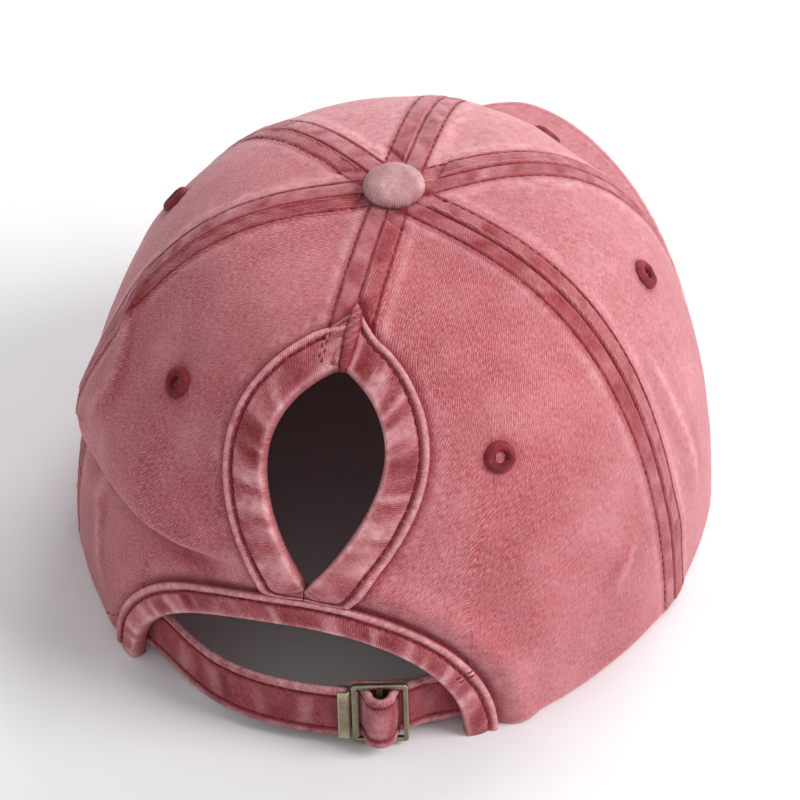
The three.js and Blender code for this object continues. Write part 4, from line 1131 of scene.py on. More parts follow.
def tape_section(width):
    """Places across a folded tape, from its fold at 0, their height over the cloth and a visible mark."""
    above = BINDING_GAP + BINDING_THICKNESS
    below = -CLOTH - above
    nose = BINDING_THICKNESS / 2
    top = [(across, above, 1.0) for across in np.linspace(width, nose * 1.2, TAPE_TOP_POINTS)]
    fold = [(nose * 0.35, above - 0.45, 0.5), (0.0, -CLOTH / 2 + 0.7, 0.2), (0.0, -CLOTH / 2 - 0.7, 0.0),
            (nose * 0.35, below + 0.45, 0.0)]
    under = [(across, below, 0.0) for across in np.linspace(nose, width, 9)]
    slot = [(width, -CLOTH - BINDING_GAP, 0.0), (BINDING_THICKNESS, -CLOTH - BINDING_GAP, 0.0),
            (BINDING_THICKNESS, BINDING_GAP, 0.0), (width * 0.5, BINDING_GAP, 0.0),
            (width * 0.9, BINDING_GAP, 0.0), (width, BINDING_GAP + 0.1, 0.0)]
    return np.array(top + fold + under + slot)


def tape_relief(along, across, width, seed):
    """Height over a flat tape, wear and dye, by place along it and from its fold."""
    from_edge = width - across
    rope = rope_round(from_edge, ROPE_WIDTH / 2, ROPE_WIDTH / 2)
    strands = strand_waves(along, from_edge, ROPE_PITCH, 2.2, seed)
    line = bump(from_edge, TAPE_STITCH_INSET + 0.25 * ripple(along, 0, 6.0, seed + 5), STITCH_REACH)
    face = smoothstep(from_edge, TAPE_STITCH_INSET, TAPE_STITCH_INSET + 1.2)
    wrinkle, crimp, patch = crumples("tape", along, across, seed + 1)
    swell = np.sin(math.pi * np.clip(across / (width - TAPE_STITCH_INSET), 0, 1))
    rise = ROPE_HEIGHT * rope * (1 + 0.07 * strands) - STITCH_DEPTH * line * (1 + 0.4 * crimp)
    rise = rise + face * (TAPE_SWELL * swell + TAPE_WRINKLE * wrinkle + 0.1 * crimp)
    wear_and_highlight = rope * (0.72 + 0.12 * strands + 0.2 * crimp) + 0.8 * face * np.clip(wrinkle + 0.6 * patch, 0, 1)
    wear_and_highlight = wear_and_highlight + 0.75 * bump(across, 0.3, 1.1) * (0.8 + 0.4 * crimp)
    hollows = np.clip(-patch - 0.5 * wrinkle + 0.1, 0, 1) * (1 - bump(across, 0, 1.4))
    return rise, wear_and_highlight, 0.9 * line + 0.85 * face * hollows


UNDER_DYE = 0.25


def run_along(points):
    """Length along a line of points, from its start."""
    steps = np.linalg.norm(np.diff(points, axis=0), axis=-1)
    return np.concatenate([[0], np.cumsum(steps)])


def binding_piece(name, stations, width, seed, more=()):
    section = tape_section(width)
    middle = on_crown(stations[:, 2], stations[:, 3], 0)
    along = run_along(middle)[:, None]
    across = section[:, 0]
    part = across / width
    azimuth = lerp(stations[:, :1], stations[:, 2:3], part)
    share = lerp(stations[:, 1:2], stations[:, 3:4], part)
    rise, wear_and_highlight, dye_grime_and_shade = tape_relief(along, across[None, :], width, seed)
    shown = section[:, 2]
    rings = on_crown(azimuth, share, section[:, 1] + rise * (shown >= 1))
    points, faces = swept(rings)
    marks = {
        "wear_and_highlight": (wear_and_highlight * shown).ravel(),
        "dye_grime_and_shade": np.where(shown > 0, dye_grime_and_shade * shown, UNDER_DYE).ravel(),
    }
    weave = flat_place(along, across).reshape(-1, 3)
    for extra_points, extra_faces, extra_marks, extra_weave in more:
        points, faces = joined([(points, faces), (extra_points, extra_faces)])
        marks = {mark: np.concatenate([marks[mark], extra_marks[mark]]) for mark in marks}
        weave = np.vstack([weave, extra_weave])
    make_piece(f"tape_{name}", points, faces, BINDING_TAPE, [name], marks, weave)


# The folded end of the right tape, as places down its middle: azimuth, share, half breadth, height
TAB_STATIONS = [
    (2.3, 0.252, 0.5, 1.6),
    (2.6, 0.264, 1.5, 1.9),
    (2.7, 0.284, 1.9, 2.0),
    (2.6, 0.305, 1.9, 2.0),
    (2.4, 0.328, 1.8, 1.9),
    (2.1, 0.346, 1.6, 1.6),
    (1.9, 0.356, 0.8, 0.9),
]
TAB_CORNERS = 18
TAB_HALF_DEPTH = 0.75
TAB_PITCH = 2.3
TAB_STRAND = 0.12


def tape_tab():
    """The small folded tab over the top of the hole, as an extra body of the right binding."""
    rows = spline(TAB_STATIONS, 60)
    middle, share, breadth, height = (rows[:, [column]] for column in range(4))
    turn = np.linspace(0, 2 * math.pi, TAB_CORNERS, endpoint=False)[None, :]
    across = np.cos(turn) * breadth
    lift = np.sin(turn) * TAB_HALF_DEPTH
    along = share * ARC
    stripes = strand_waves(along, across, TAB_PITCH)
    azimuth = middle + across / mm_per_degree(0.0, share)
    points, faces = swept(on_crown(azimuth, share, height + lift + TAB_STRAND * stripes * (lift > 0)))
    low = smoothstep(share, 0.30, 0.35)
    sides = bump(np.abs(across) / breadth, 1.0, 0.3)
    marks = {
        "wear_and_highlight": (0.5 * np.clip(stripes, 0, 1) * (1 - low)).ravel(),
        # Painted shadow along both sides of the tab; the tab is darker overall and more so towards its
        # lower end
        "dye_grime_and_shade": (0.35 + 0.4 * low + 0.75 * sides).ravel(),
    }
    return points, faces, marks, flat_place(along, across).reshape(-1, 3)


# The folded end of the left tape: azimuth, share of its upper edge, share of its lower edge
FLAP_STATIONS = [
    (-5.0, 0.293, 0.345),
    (-4.2, 0.287, 0.348),
    (-2.4, 0.278, 0.349),
    (-0.4, 0.269, 0.349),
    (1.6, 0.262, 0.349),
]
FLAP_POINTS = 24
FLAP_HEIGHT = 1.75
FLAP_BACK = 1.0


def tape_flap():
    """The left tape's folded end, with a pale fold along its top and a second one below it."""
    rows = spline(FLAP_STATIONS, 46)
    share = lerp(rows[:, 1:2], rows[:, 2:3], np.linspace(0, 1, FLAP_POINTS)[None, :])
    azimuth, share = fitted(rows[:, :1], share)
    down = (share - rows[:, 1:2]) * ARC
    crimp = ripple(azimuth * 1.3, down, 1.6, 861)
    fold = np.maximum(bump(down, 0.7, 0.7), 0.7 * bump(down, 2.4, 0.6))
    height = FLAP_HEIGHT + 0.35 * fold + 0.12 * crimp - 0.9 * bump(down, 0, 0.35)
    upper = on_crown(azimuth, share, height)
    lower = on_crown(azimuth[:, [-1, 0]], share[:, [-1, 0]], FLAP_BACK)
    points, faces = swept(np.concatenate([upper, lower], axis=1))
    under = np.zeros((len(rows), 2))
    dye_grime_and_shade = 0.25 + 0.5 * bump(down, 1.55, 0.3) + 0.3 * np.clip(-crimp, 0, 1)
    marks = {
        "wear_and_highlight": np.hstack([0.9 * fold * (0.8 + 0.4 * crimp), under]).ravel(),
        "dye_grime_and_shade": np.hstack([dye_grime_and_shade, under]).ravel(),
    }
    flat = flat_place(azimuth * 1.2, down)
    return points, faces, marks, np.concatenate([flat, flat[:, [-1, 0]]], axis=1).reshape(-1, 3)


def track_azimuth(along):
    return BUCKLE_AZIMUTH + along / mm_per_degree(BUCKLE_AZIMUTH, 1)


def on_track(along, out, height):
    return on_crown(track_azimuth(along), share_at_height(height), out)


def leg_along(turn):
    return float((arch_edge(turn, 0)[0] - BUCKLE_AZIMUTH) * mm_per_degree(BUCKLE_AZIMUTH, 1))


DEPTH_AT_LEG = -CLOTH - BINDING_GAP - BINDING_THICKNESS - 2 * GAP - STRAP_THICKNESS / 2
UNDER_BAR = -BUCKLE_DEPTH / 2 - BUCKLE_CLEARANCE - STRAP_THICKNESS / 2
TAIL_DEPTH = UNDER_BAR - STRAP_THICKNESS - 2 * GAP
BUCKLE_HALF = BUCKLE_WIDTH / 2
CLAMP_START = -BUCKLE_HALF - GAP
LEFT_LEG = leg_along(-90)
RIGHT_LEG = leg_along(90)


def left_track():
    """Rows of along, out and lift down the left strap."""
    start = LEFT_LEG - ARCH_BINDING_WIDTH
    end = CLAMP_START - CLAMP_SHEET - GAP
    return [
        (start, DEPTH_AT_LEG, 0), (LEFT_LEG, DEPTH_AT_LEG, 0), (LEFT_LEG + LEG_CLEARANCE, DEPTH_AT_LEG, 0),
        (LEFT_LEG * 0.74, DEPTH_AT_LEG * 0.6, 0), (LEFT_LEG * 0.6, DEPTH_AT_LEG * 0.15, 0),
        (LEFT_LEG * 0.46, 0, 0), (LEFT_LEG * 0.34, 0, 0), (LEFT_LEG * 0.22, 0, 0), (end, 0, 0),
    ]


def right_track():
    """Rows of along, out and lift down the right strap, over the buckle's middle bar and back."""
    bar = BUCKLE_HALF
    inside = BUCKLE_HALF - BUCKLE_BAR - BUCKLE_CLEARANCE
    tail = STRAP_TAIL_LIFT
    return [
        (RIGHT_LEG + ARCH_BINDING_WIDTH, DEPTH_AT_LEG, 0), (RIGHT_LEG, DEPTH_AT_LEG, 0),
        (RIGHT_LEG - LEG_CLEARANCE, DEPTH_AT_LEG, 0),
        (bar, UNDER_BAR, 0), (inside - 0.6, UNDER_BAR + 0.2, 0), (inside * 0.62, 0.8, 0),
        (inside * 0.42, LOOP_RISE * 0.75, 0), (0, LOOP_RISE, 0), (-inside * 0.42, LOOP_RISE * 0.75, 0),
        (-inside * 0.62, 0.8, 0), (0.6 - inside, UNDER_BAR + 0.2, 0), (-bar + 0.9, UNDER_BAR - 0.3, 0),
        (-bar + 0.2, (UNDER_BAR + TAIL_DEPTH) / 2, tail * 0.3), (-bar + 0.9, TAIL_DEPTH + 0.3, tail * 0.6),
        (-inside * 0.7, TAIL_DEPTH, tail * 0.8), (0, TAIL_DEPTH, tail), (bar, TAIL_DEPTH, tail),
        (lerp(bar, RIGHT_LEG, 0.6), TAIL_DEPTH - 0.4, tail), (RIGHT_LEG - 1, TAIL_DEPTH - 0.6, tail),
    ]


STRAP_FACE_POINTS = 31
STRAP_FACE_SHARE = 0.94
STRAP_SIDE_SHARE = 0.99
STRAP_STITCH_INSET = 2.4
STRAP_STITCH_DEPTH = 0.35
STRAP_ROPE_HEIGHT = 0.32
STRAP_SIDE_WEAR = 0.8


def strap_section():
    """Places round the strap: height on its face from the middle, and side, 0.5 out to -0.5 in."""
    half = STRAP_WIDTH / 2
    places = np.linspace(-half * STRAP_FACE_SHARE, half * STRAP_FACE_SHARE, STRAP_FACE_POINTS)
    face = [(up, 0.5) for up in places]
    back = [(-up, -0.5) for up in places]
    upper = [(half * STRAP_SIDE_SHARE, 0.25), (half, 0.0), (half * STRAP_SIDE_SHARE, -0.25)]
    lower = [(-up, -side) for up, side in upper]
    return np.array(face + upper + back + lower)


def strap_relief(along, up, seed):
    """Height over a flat strap, wear and dye: rope-like edges and a stitch line inside each."""
    half = STRAP_WIDTH / 2
    from_edge = half - np.abs(up)
    rope = rope_round(from_edge, 0.8, 0.9)
    strands = strand_waves(along, up, ROPE_PITCH, 2.0, seed)
    line = bump(from_edge, STRAP_STITCH_INSET, 0.45)
    face = smoothstep(from_edge, 2.5, 4.0)
    wrinkle, crimp, patch = crumples("strap", along, up, seed + 1)
    rise = STRAP_ROPE_HEIGHT * rope * (1 + 0.1 * strands) - STRAP_STITCH_DEPTH * line
    rise = rise + face * (0.24 * wrinkle + 0.08 * crimp)
    wear_and_highlight = rope * (0.5 + 0.12 * strands + 0.25 * crimp)
    wear_and_highlight = wear_and_highlight + 0.7 * face * np.clip(patch + 0.3 * wrinkle - 0.1, 0, 1)
    dye_grime_and_shade = 0.9 * line + 0.45 * face * np.clip(-wrinkle, 0, 1) + 0.25 * rope * np.clip(-crimp, 0, 1)
    return rise, wear_and_highlight, dye_grime_and_shade


def strap_piece(name, track, count, seed):
    rows = spline(track, count)
    before = rows[np.maximum(np.arange(count) - 1, 0)]
    after = rows[np.minimum(np.arange(count) + 1, count - 1)]
    run = after[:, 0] - before[:, 0]
    climb = after[:, 1] - before[:, 1]
    size = np.hypot(run, climb)
    along = run_along(rows[:, :2])[:, None]
    section = strap_section()
    up = section[:, 0][None, :]
    side = section[:, 1][None, :]
    rise, wear_and_highlight, dye_grime_and_shade = strap_relief(along, up, seed)
    shift = side * STRAP_THICKNESS + rise * np.sign(side) * (np.abs(side) >= 0.5)
    rings = on_track(
        rows[:, :1] - shift * (climb / size)[:, None],
        rows[:, 1:2] + shift * (run / size)[:, None],
        STRAP_CENTRE_HEIGHT + up + rows[:, 2:3],
    )
    points, faces = swept(rings)
    wear_and_highlight = np.where(np.abs(side) < 0.5, STRAP_SIDE_WEAR, wear_and_highlight)
    marks = {"wear_and_highlight": wear_and_highlight.ravel(), "dye_grime_and_shade": dye_grime_and_shade.ravel()}
    weave = flat_place(along, up)
    make_piece(f"cloth_{name}", points, faces, STRAP_TWILL, [name], marks, weave)
    return rows


# Stitches

STITCH_SIDES = 6
STITCH_STATIONS = 6
STITCH_ARCH = 1.3
STITCH_SINK = 0.7
STITCH_STRAY = 0.06
THREAD_FLATTENING = 1.15


def stitch_bodies(points, normals, pitch, seed):
    """Separate stitches along a line of points on cloth, as rings of points for each."""
    length = run_along(points)
    count = max(1, int(length[-1] / pitch))
    rng = np.random.default_rng(seed)
    part = np.linspace(-1, 1, STITCH_STATIONS)
    lift = THREAD_RADIUS * (STITCH_ARCH * (1 - part ** 2) - STITCH_SINK)
    girth = THREAD_RADIUS * np.sqrt(np.clip(1 - np.abs(part) ** 3, 0.06, 1))[:, None, None]
    turn = np.linspace(0, 2 * math.pi, STITCH_SIDES, endpoint=False)[None, :, None]
    bodies = []
    for start in (np.arange(count) + 0.5) * length[-1] / count:
        size = STITCH_LENGTH / STITCH_PITCH * pitch * rng.uniform(0.92, 1.04)
        places = start + np.linspace(-0.5, 0.5, STITCH_STATIONS) * size
        middle = np.stack([np.interp(places, length, points[:, axis]) for axis in range(3)], -1)
        out = unit(np.stack([np.interp(places, length, normals[:, axis]) for axis in range(3)], -1))
        aside = np.cross(unit(np.gradient(middle, axis=0)), out)
        middle = middle + out * lift[:, None] + aside * rng.uniform(-STITCH_STRAY, STITCH_STRAY)
        wide = aside[:, None] * np.cos(turn) * girth * THREAD_FLATTENING
        bodies.append(middle[:, None] + wide + out[:, None] * np.sin(turn) * girth)
    return bodies


def stitch_piece(name, rows):
    """All the stitches of some lines as one piece."""
    bodies = [swept(rings) for row in rows for rings in stitch_bodies(*row)]
    points, faces = joined(bodies)
    one = np.repeat(np.linspace(0, STITCH_LENGTH, STITCH_STATIONS), STITCH_SIDES)
    along = np.tile(one, len(bodies))
    around = np.tile(np.arange(STITCH_SIDES), len(points) // STITCH_SIDES)
    marks = {"wear_and_highlight": 0 * along, "dye_grime_and_shade": 0 * along}
    make_piece(name, points, faces, THREAD, (), marks, flat_place(along, around))


def crown_line(azimuth, share, height, seed, pitch=STITCH_PITCH):
    points = on_crown(azimuth, share, height)
    return points, normal_of(surface, azimuth, share), pitch, seed


SEAM_STITCH_HEIGHT = BAND_RISE - 0.32
SEAM_LINE_POINTS = 160
LINE_DRIFT = 0.22
LINE_DRIFT_SIZE = 14.0
NEAR_TAPE_TOP = 0.27
RIM_MARGIN = 0.008
TAPE_MARGIN = 0.004


def seam_stitches():
    rows = []
    first = share_at_radius(BUTTON_RADIUS)
    for order, seam in enumerate(SEAMS):
        for side in (-1, 1):
            last = float(rim_share(seam_azimuth(seam, 1.0))) - RIM_MARGIN
            if seam == "back":
                beside = seam_azimuth(seam, NEAR_TAPE_TOP) + side * STITCH_OFFSET
                last = float(tape_top(beside)) - TAPE_MARGIN
            share = np.linspace(first, last, SEAM_LINE_POINTS)
            azimuth = seam_azimuth(seam, share)
            drift = LINE_DRIFT * ripple(share * ARC, 0, LINE_DRIFT_SIZE, 300 + order * 2 + side)
            azimuth = azimuth + side * (STITCH_OFFSET + drift) / mm_per_degree(azimuth, share)
            rows.append(crown_line(azimuth, share, SEAM_STITCH_HEIGHT, 400 + 2 * order + side))
    stitch_piece("stitches_crown", rows)


def tape_line(stations, width, seed):
    part = (width - TAPE_STITCH_INSET) / width
    azimuth = lerp(stations[:, 0], stations[:, 2], part)
    share = lerp(stations[:, 1], stations[:, 3], part)
    return crown_line(azimuth, share, BINDING_GAP + BINDING_THICKNESS - 0.12, seed)


# Rows of tacking across the bindings: first azimuth and share, last azimuth and share, height
TACKS = [
    (-4.3, 0.296, -4.1, 0.352, 1.75),
    (-5.4, 0.300, -5.2, 0.346, 1.75),
    (25.4, 0.872, 29.6, 0.858, 1.9),
    (25.8, 0.880, 29.9, 0.866, 1.9),
    (-44.6, 0.958, -40.4, 0.934, 1.9),
]
TACK_PITCH = 2.3
TACK_POINTS = 20


def binding_stitches():
    rows = []
    for side in (-1, 1):
        stations = spline(hole_stations(side), 200)[8:-6]
        rows.append(tape_line(stations, HOLE_BINDING_WIDTH, 430 + side))
    rows.append(tape_line(arch_stations(300)[3:-3], ARCH_BINDING_WIDTH, 433))
    for order, (azimuth, share, last_azimuth, last_share, height) in enumerate(TACKS):
        azimuth = np.linspace(azimuth, last_azimuth, TACK_POINTS)
        share = np.linspace(share, last_share, TACK_POINTS)
        rows.append(crown_line(azimuth, share, height, 440 + order, TACK_PITCH))
    stitch_piece("stitches_bindings", rows)


STRAP_LINE_INSET = 2.5
STRAP_STITCH_SINK = 0.15


def strap_stitches(tracks):
    rows = []
    shift = STRAP_THICKNESS / 2 - STRAP_STITCH_SINK
    for order, track in enumerate(tracks):
        run = np.gradient(track[:, 0])
        climb = np.gradient(track[:, 1])
        size = np.hypot(run, climb)
        for side in (-1, 1):
            height = STRAP_CENTRE_HEIGHT + side * (STRAP_WIDTH / 2 - STRAP_LINE_INSET) + track[:, 2]
            points = on_track(track[:, 0] - shift * climb / size, track[:, 1] + shift * run / size, height)
            normals = unit(points - on_track(track[:, 0], track[:, 1], height))
            rows.append((points, normals, STITCH_PITCH, 450 + 2 * order + side))
    stitch_piece("stitches_strap", rows)


# Eyelets and button

EYELET_SIDES = 96
EYELET_THREADS = 32
THREAD_RELIEF = 0.11
RING_LUMPS = 0.12
RING_WOBBLE = 0.035


def stood_on_crown(points, azimuth, share):
    """Turns points with +Z out from the cloth to stand at a place on the crown."""
    seat = surface(azimuth, share)
    normal = Vector(normal_of(surface, np.asarray(azimuth), np.asarray(share)))
    turn = np.array(normal.to_track_quat("Z", "Y").to_matrix())
    return points @ turn.T + seat


def turned(outline, sides):
    """Rings of points round an axis from rows of radius and height."""
    turn = np.linspace(0, 2 * math.pi, sides, endpoint=False)[:, None]
    radius = outline[:, 0][None, :]
    height = outline[:, 1][None, :]
    return turn, np.stack([radius * np.cos(turn), radius * np.sin(turn), height + 0 * turn], -1)


def eyelet_outline():
    """Radius and height of the thread ring's section, from inside the hole over the top and back."""
    hole = EYELET_HOLE_RADIUS
    rows = [(hole, -CLOTH - 0.4), (hole - 0.05, -0.6), (hole, 0.4), (hole + 0.35, 1.0), (hole + 0.9, 1.3),
            (hole + 1.5, 1.25), (hole + 2.1, 0.95), (EYELET_RADIUS - 0.1, 0.35),
            (EYELET_RADIUS + 0.05, -0.1), (EYELET_RADIUS - 0.3, -0.35), (hole + 1.4, -0.3),
            (hole + 0.8, -CLOTH - 0.2), (hole + 0.7, -CLOTH - 0.5)]
    return np.array(rows)


def eyelet_piece(name, seed):
    azimuth, share = eyelet_place(name)
    fine = spline(eyelet_outline(), 46)
    turn, rings = turned(fine, EYELET_SIDES)
    radius = fine[:, 0][None, :]
    top = smoothstep(fine[:, 1], -0.1, 0.5)[None, :]
    threads = np.sin(EYELET_THREADS * turn + 1.2 * radius + 1.5 * ripple(turn * 6, 0, 2.0, seed))
    lumps = THREAD_RELIEF * threads + RING_LUMPS * ripple(turn * 4, radius, 2.2, seed + 1)
    rings[..., 2] = rings[..., 2] + lumps * top
    uneven = ripple(np.cos(turn) * 3, np.sin(turn) * 3, 1.6, seed + 2) * smoothstep(radius, 2, 4)
    rings[..., :2] = rings[..., :2] * (1 + RING_WOBBLE * uneven[..., None])
    points, faces = swept(rings, closed=True)
    marks = {"wear_and_highlight": (0.3 * np.clip(threads, 0, 1) * top).ravel(), "dye_grime_and_shade": np.zeros(len(points))}
    points = stood_on_crown(points, azimuth, share)
    weave = flat_place(turn * radius, radius)
    make_piece(f"ring_{name}", points, faces, THREAD, [f"eyelet_{name}"], marks, weave)


BUTTON_SIDES = 120
BUTTON_GATHERS = 26
GATHER_DEPTH = 0.14

# Radius and height as shares of the button's own
BUTTON_OUTLINE = [(0.9, -0.1), (0.97, 0.08), (1.0, 0.28), (0.985, 0.5), (0.93, 0.7), (0.82, 0.86),
                  (0.62, 0.96), (0.35, 1.0), (0.02, 1.01)]


def button_piece():
    """A cloth-covered dome whose cover is gathered under its edge."""
    fine = spline(np.array(BUTTON_OUTLINE) * (BUTTON_RADIUS, BUTTON_HEIGHT), 60)
    turn, rings = turned(fine, BUTTON_SIDES)
    low = (1 - smoothstep(fine[:, 1], 0.5, 2.2))[None, :]
    gathers = GATHER_DEPTH * np.sin(BUTTON_GATHERS * turn + 3 * ripple(turn * 5, 0, 2.0, 91)) * low
    lumps = 0.14 * cloud(rings, 3.2, 92) + 0.05 * cloud(rings, 1.3, 93)
    rings = rings + unit(rings) * (gathers + lumps)[..., None]
    index = np.arange(rings.shape[0] * rings.shape[1]).reshape(rings.shape[:2])
    faces = []
    for station in range(BUTTON_SIDES):
        after = (station + 1) % BUTTON_SIDES
        for corner in range(rings.shape[1] - 1):
            faces.append([int(index[station, corner]), int(index[after, corner]),
                          int(index[after, corner + 1]), int(index[station, corner + 1])])
    faces += [index[:, 0].tolist(), index[:, -1].tolist()]
    seat = np.array([-LEAN, 0.0, HEIGHT + BAND_RISE + GAP])
    points = rings.reshape(-1, 3)
    marks = {
        "wear_and_highlight": (0.35 + 0.5 * cloud(rings, 4.0, 94) + 0.3 * (1 - low)).ravel(),
        # Painted shade along the lower edge, where the cover tucks under
        "dye_grime_and_shade": (0.8 * (1 - smoothstep(fine[:, 1], 0.0, 1.3))[None, :] + 0 * turn).ravel(),
    }
    make_piece("cover_button", points + seat, faces, BUTTON_CLOTH, ["crown_button"], marks,
               points * (1, 1, 0))


# Buckle


def track_frame(along):
    """Seat and axes on the strap's track: back along it, out and up."""
    azimuth = track_azimuth(along)
    share = share_at_height(STRAP_CENTRE_HEIGHT)
    seat = surface(azimuth, share)
    out = normal_of(surface, np.asarray(azimuth, float), np.asarray(share, float))
    back = unit(np.cross(out, (0, 0, 1)))
    return seat, np.stack([back, out, np.cross(back, out)])


def rounded_loop(half_wide, half_tall, corner, per_corner):
    """Points and outward directions round a rectangle with rounded corners."""
    points, outward = [], []
    for quarter, (x, z) in enumerate([(1, 1), (-1, 1), (-1, -1), (1, -1)]):
        for step in range(per_corner):
            turn = math.pi / 2 * (quarter + step / (per_corner - 1))
            direction = np.array([math.cos(turn), math.sin(turn)])
            middle = np.array([x * (half_wide - corner), z * (half_tall - corner)])
            points.append(middle + corner * direction)
            outward.append(direction)
    return np.array(points), np.array(outward)


BAR_CORNER = 0.45
LOOP_CORNER = 0.5
TOOTH_PITCH = 0.85
TOOTH_HEIGHT = 0.5


def bar_marks(section, count):
    """Wear along a bar's edges, for each of its stations."""
    size = np.abs(section) / np.abs(section).max(axis=0)
    wear_and_highlight = smoothstep(size.min(axis=1), 0.55, 0.85)
    return np.tile(wear_and_highlight, count)


def buckle_frame_piece():
    """A cast frame with a middle bar and a row of teeth along one side."""
    bar = BUCKLE_BAR
    tall = STRAP_WIDTH / 2 + 2 * GAP + bar
    section = rounded_loop(bar / 2, BUCKLE_DEPTH / 2, BAR_CORNER, 4)[0]
    loop, outward = rounded_loop(BUCKLE_HALF - bar / 2, tall - bar / 2, LOOP_CORNER, 8)
    rings = np.zeros((len(loop), len(section), 3))
    rings[..., 0] = loop[:, :1] + outward[:, :1] * section[:, 0]
    rings[..., 2] = loop[:, 1:] + outward[:, 1:] * section[:, 0]
    rings[..., 1] = section[:, 1]
    parts = [swept(rings, closed=True)]
    wear_and_highlight = [bar_marks(section, len(loop))]
    spots = np.linspace(-tall + bar / 2, tall - bar / 2, 9)
    middle = np.zeros((len(spots), len(section), 3))
    middle[..., 0] = section[:, 0]
    middle[..., 1] = section[:, 1]
    middle[..., 2] = spots[:, None]
    parts.append(swept(middle))
    wear_and_highlight.append(bar_marks(section, len(spots)))
    inner_edge = BUCKLE_HALF - bar
    for spot in np.arange(-tall + bar + TOOTH_PITCH, tall - bar - TOOTH_PITCH / 2, TOOTH_PITCH):
        tooth = np.array([
            [(0, -0.55, -0.38), (0, -0.55, 0.38), (0, 0.62, 0.38), (0, 0.62, -0.38)],
            [(-0.6, -0.45, -0.14), (-0.6, -0.45, 0.14), (-0.6, 0.45, 0.14), (-0.6, 0.45, -0.14)],
        ]) * (TOOTH_HEIGHT / 0.6, 1, 1) + (inner_edge + 0.1, 0, spot)
        parts.append(swept(tooth))
        wear_and_highlight.append(np.array([0.2] * 4 + [0.9] * 4))
    points, faces = joined(parts)
    seat, axes = track_frame(0.0)
    wear_and_highlight = np.concatenate(wear_and_highlight)
    marks = {"wear_and_highlight": wear_and_highlight, "dye_grime_and_shade": 0.35 * (points[:, 1] < -0.3)}
    make_piece("cast_buckle", points @ axes + seat, faces, BRASS, ["buckle_frame"], marks,
               points, smooth=False)


CLAMP_NOSE_TURN = 0.86 * math.pi / 2
CLAMP_BEND = 0.75
CLAMP_CHAMFER = 0.12


def clamp_piece():
    """A plate folded round the left strap's end, open away from the buckle."""
    near = STRAP_THICKNESS / 2 + GAP
    far = near + CLAMP_SHEET
    half = CLAMP_WIDTH / 2
    nose = [(-half + CLAMP_SHEET * (1 - math.cos(turn)), far * math.sin(turn))
            for turn in np.linspace(CLAMP_NOSE_TURN, -CLAMP_NOSE_TURN, 11)]
    outline = [(half, far), (half - 0.4, far + 0.04), (0, far), (-half + CLAMP_BEND, far)] + nose
    outline += [(-half + CLAMP_BEND, -far), (half, -far), (half, -near), (-half + CLAMP_SHEET, -near),
                (-half + CLAMP_SHEET, near), (half, near)]
    outline = np.array(outline)
    spots = np.array([-1.0, -0.985, -0.6, 0.0, 0.6, 0.985, 1.0]) * STRAP_WIDTH / 2
    inset = CLAMP_CHAMFER * np.array([1, 0, 0, 0, 0, 0, 1])[:, None]
    rings = np.zeros((len(spots), len(outline), 3))
    rings[..., 0] = outline[:, 0] * (1 - inset / half)
    rings[..., 1] = outline[:, 1] * (1 - inset * 0.3)
    rings[..., 2] = spots[:, None]
    points, faces = swept(rings)
    seat, axes = track_frame(CLAMP_START - half)
    ends = np.abs(points[:, 2]) > STRAP_WIDTH / 2 * 0.98
    edge = np.abs(points[:, 0]) > half * 0.8
    marks = {"wear_and_highlight": np.where(ends | edge, 0.75, 0.1), "dye_grime_and_shade": 0.3 * (points[:, 1] < 0)}
    make_piece("folded_clamp", points @ axes + seat, faces, BRASS, ["buckle_clamp"], marks,
               points, smooth=False)


# Peak and sweatband

PEAK_WEAR = 0.35
PEAK_ROUNDING = 1.5
RIDGE_INSET = 4.2
PEAK_COLUMNS = 221
PEAK_ROWS = 81


def peak_edges(part):
    """The peak's inner and outer edge, seen from above, from one end at -1 to the other at 1."""
    inner = np.stack(rim_plan(PEAK_HALF_ANGLE * part, CLOTH), -1)
    sweep = part * math.pi / 2
    power = 2 / PEAK_OUTLINE_POWER
    root = math.cos(math.radians(PEAK_HALF_ANGLE)) * FRONT_REACH
    outer = np.stack([
        np.sign(part) * np.abs(np.sin(sweep)) ** power * PEAK_HALF_WIDTH,
        -root - np.abs(np.cos(sweep)) ** power * (FRONT_REACH + PEAK_LENGTH - root),
    ], -1)
    size = np.linalg.norm(inner, axis=-1, keepdims=True)
    least = inner * (1 + (CLOTH + PEAK_END_OVERHANG) / size)
    longer = np.linalg.norm(outer, axis=-1) > np.linalg.norm(least, axis=-1)
    return inner, np.where(longer[:, None], outer, least)


